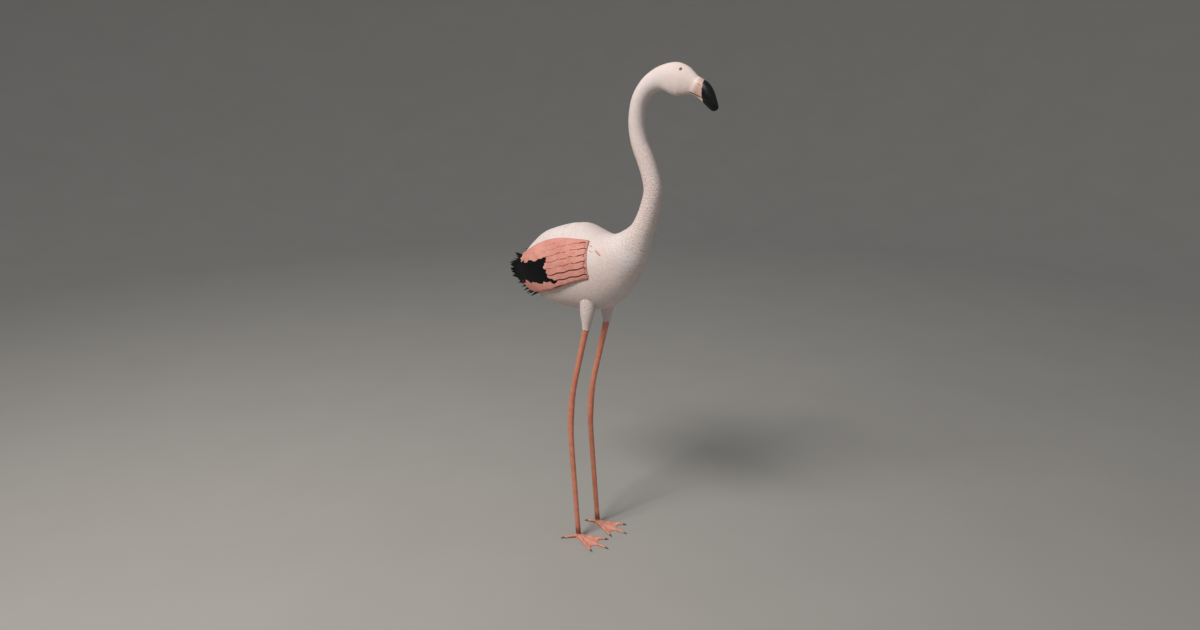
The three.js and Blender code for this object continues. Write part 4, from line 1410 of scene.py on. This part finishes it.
FLIGHT_SHARES = (0, 0.07, 0.14, 0.21, 0.28, 0.36, 0.43, 0.5, 0.57, 0.64, 0.71, 0.77, 0.83, 0.89, 0.95, 1)
FLIGHT_LENGTH = 105


def flight_group(side):
    """The long black feathers whose points stand out behind the folded wing."""
    tip_at = keyed(FLIGHT_TIPS)
    groups = []
    for share in FLIGHT_SHARES:
        tip = tip_at(share)[1:] + rng.uniform(-4, 4, 3) * (0.4, 1, 0.5)
        inwards = mix(3.5, 10, smooth(share, 0.6, 0.8))
        root = wing_point(1, tip[1] - FLIGHT_LENGTH, mix(0.28, 0.92, share), inwards)
        groups.append(mark(lone_vane(
            root * (side, 1, 1), tip * (side, 1, 1), (side, 0.2, 0), 2.5, share,
            width=8.5, depth=0.5, rows=20, pointed=1.9,
        ), black=1))
    return groups


def build_wings():
    for name, side in SIDES:
        coat_piece(
            f"coat_wing_{name}", [wing_group(side)], lambda _, u, v: (u / 320, v),
            "pink_plumage", f"wing_{name}", f"tertials_{name}",
        )
        coat_piece(
            f"flight_vanes_{name}", flight_group(side), lambda _, u, v: (u, v + 0.5),
            "black_plumage", f"flight_feathers_{name}",
        )


TAIL_VANES, TAIL_LENGTH, TAIL_SPREAD, TAIL_DROP = 12, 70, 13, 22


def build_tail():
    groups = []
    for index, share in enumerate(np.linspace(-1, 1, TAIL_VANES)):
        start = np.array(TAIL_ROOT) + (11 * share, -14, 2 - 1.5 * abs(share))
        a = math.radians(TAIL_SPREAD * share)
        length = TAIL_LENGTH * (1 - 0.1 * share * share)
        tip = start + (length * math.sin(a), length * math.cos(a), -TAIL_DROP - 3 * share * share)
        group = lone_vane(
            start, tip, (0.25 * share, 0.3, 1), 1.5, index / (TAIL_VANES - 1), width=19, depth=0.3, rows=12
        )
        group["points"] = group["points"] + (0, 0, 0.5 * (index % 2))
        groups.append(group)
    coat_piece("tail_vanes", groups, lambda _, u, v: (u, v + 0.5), "white_plumage", "tail")


# ---------------------------------------------------------------- the stage


def aimed(name, data, at, target):
    made = new_object(name, data)
    made.location = at
    made.rotation_euler = (Vector(target) - made.location).to_track_quat("-Z", "Y").to_euler()
    return made


FLOOR_FLAT, FLOOR_CURVE, FLOOR_CORNERS = 5.0, 4.0, 96  # metres, metres, count
SKY, SKY_STRENGTH = (0.88, 0.93, 1.0, 1), 0.35
# Name, place, size, power and colour of each light.
LIGHTS = (
    ("key", (-2.5, 0.5, 3.5), 1.3, 132, (1.0, 0.97, 0.93)),
    ("fill", (-0.6, -3.2, 1.6), 2.5, 4, (0.95, 0.97, 1.0)),
)
LIGHT_TARGET = (0, 0, 0.85)
CAMERA_PLACE, CAMERA_TARGET = (-1.7219, -1.2226, 1.3482), (0, 0.016, 0.7267)


def build_stage():
    """A plain pale bowl: a flat floor that curves up into a wall far behind, under soft lights."""
    arc = np.radians(np.linspace(0, 88, 24))
    radii = np.concatenate([[0.01, 1, 2.5], FLOOR_FLAT + FLOOR_CURVE * np.sin(arc)])[:, None]
    heights = np.concatenate([[0, 0, 0], FLOOR_CURVE * (1 - np.cos(arc))])[:, None]
    turns = round_turns(FLOOR_CORNERS)
    rings = np.stack([radii * np.cos(turns), radii * np.sin(turns), heights * np.ones(FLOOR_CORNERS)], -1)
    # The sides and the small middle, without the wide cap over the top.
    count = (len(radii) - 1) * FLOOR_CORNERS + FLOOR_CORNERS // 2 - 1
    faces = ring_faces(len(radii), FLOOR_CORNERS)[:count, ::-1]
    nodes = Nodes("floor_paper")
    paper = nodes.done(nodes.blend(nodes.noise(3, 2), PAPER, PAPER_WARM), 0.9)
    build_object("floor", rings.reshape(-1, 3), faces, paper)
    world = bpy.data.worlds.new("studio")
    world.use_nodes = True
    colour, strength = world.node_tree.nodes["Background"].inputs[:2]
    colour.default_value, strength.default_value = SKY, SKY_STRENGTH
    bpy.context.scene.world = world
    for name, at, size, power, tint in LIGHTS:
        light = bpy.data.lights.new(name, "AREA")
        light.size, light.energy, light.color = size, power, tint
        aimed(name, light, at, LIGHT_TARGET)


def build_camera():
    camera = bpy.data.cameras.new("camera")
    camera.lens, camera.sensor_width = 22.8, 36
    camera.clip_start, camera.clip_end = 0.02, 100
    bpy.context.scene.camera = aimed("camera", camera, CAMERA_PLACE, CAMERA_TARGET)
    bpy.context.scene.view_settings.view_transform = "Standard"


build_camera()
build_stage()
build_skin()
build_bill()
build_eyes()
build_claws()
build_body_coat()
build_thigh_coat()
build_wings()
build_tail()
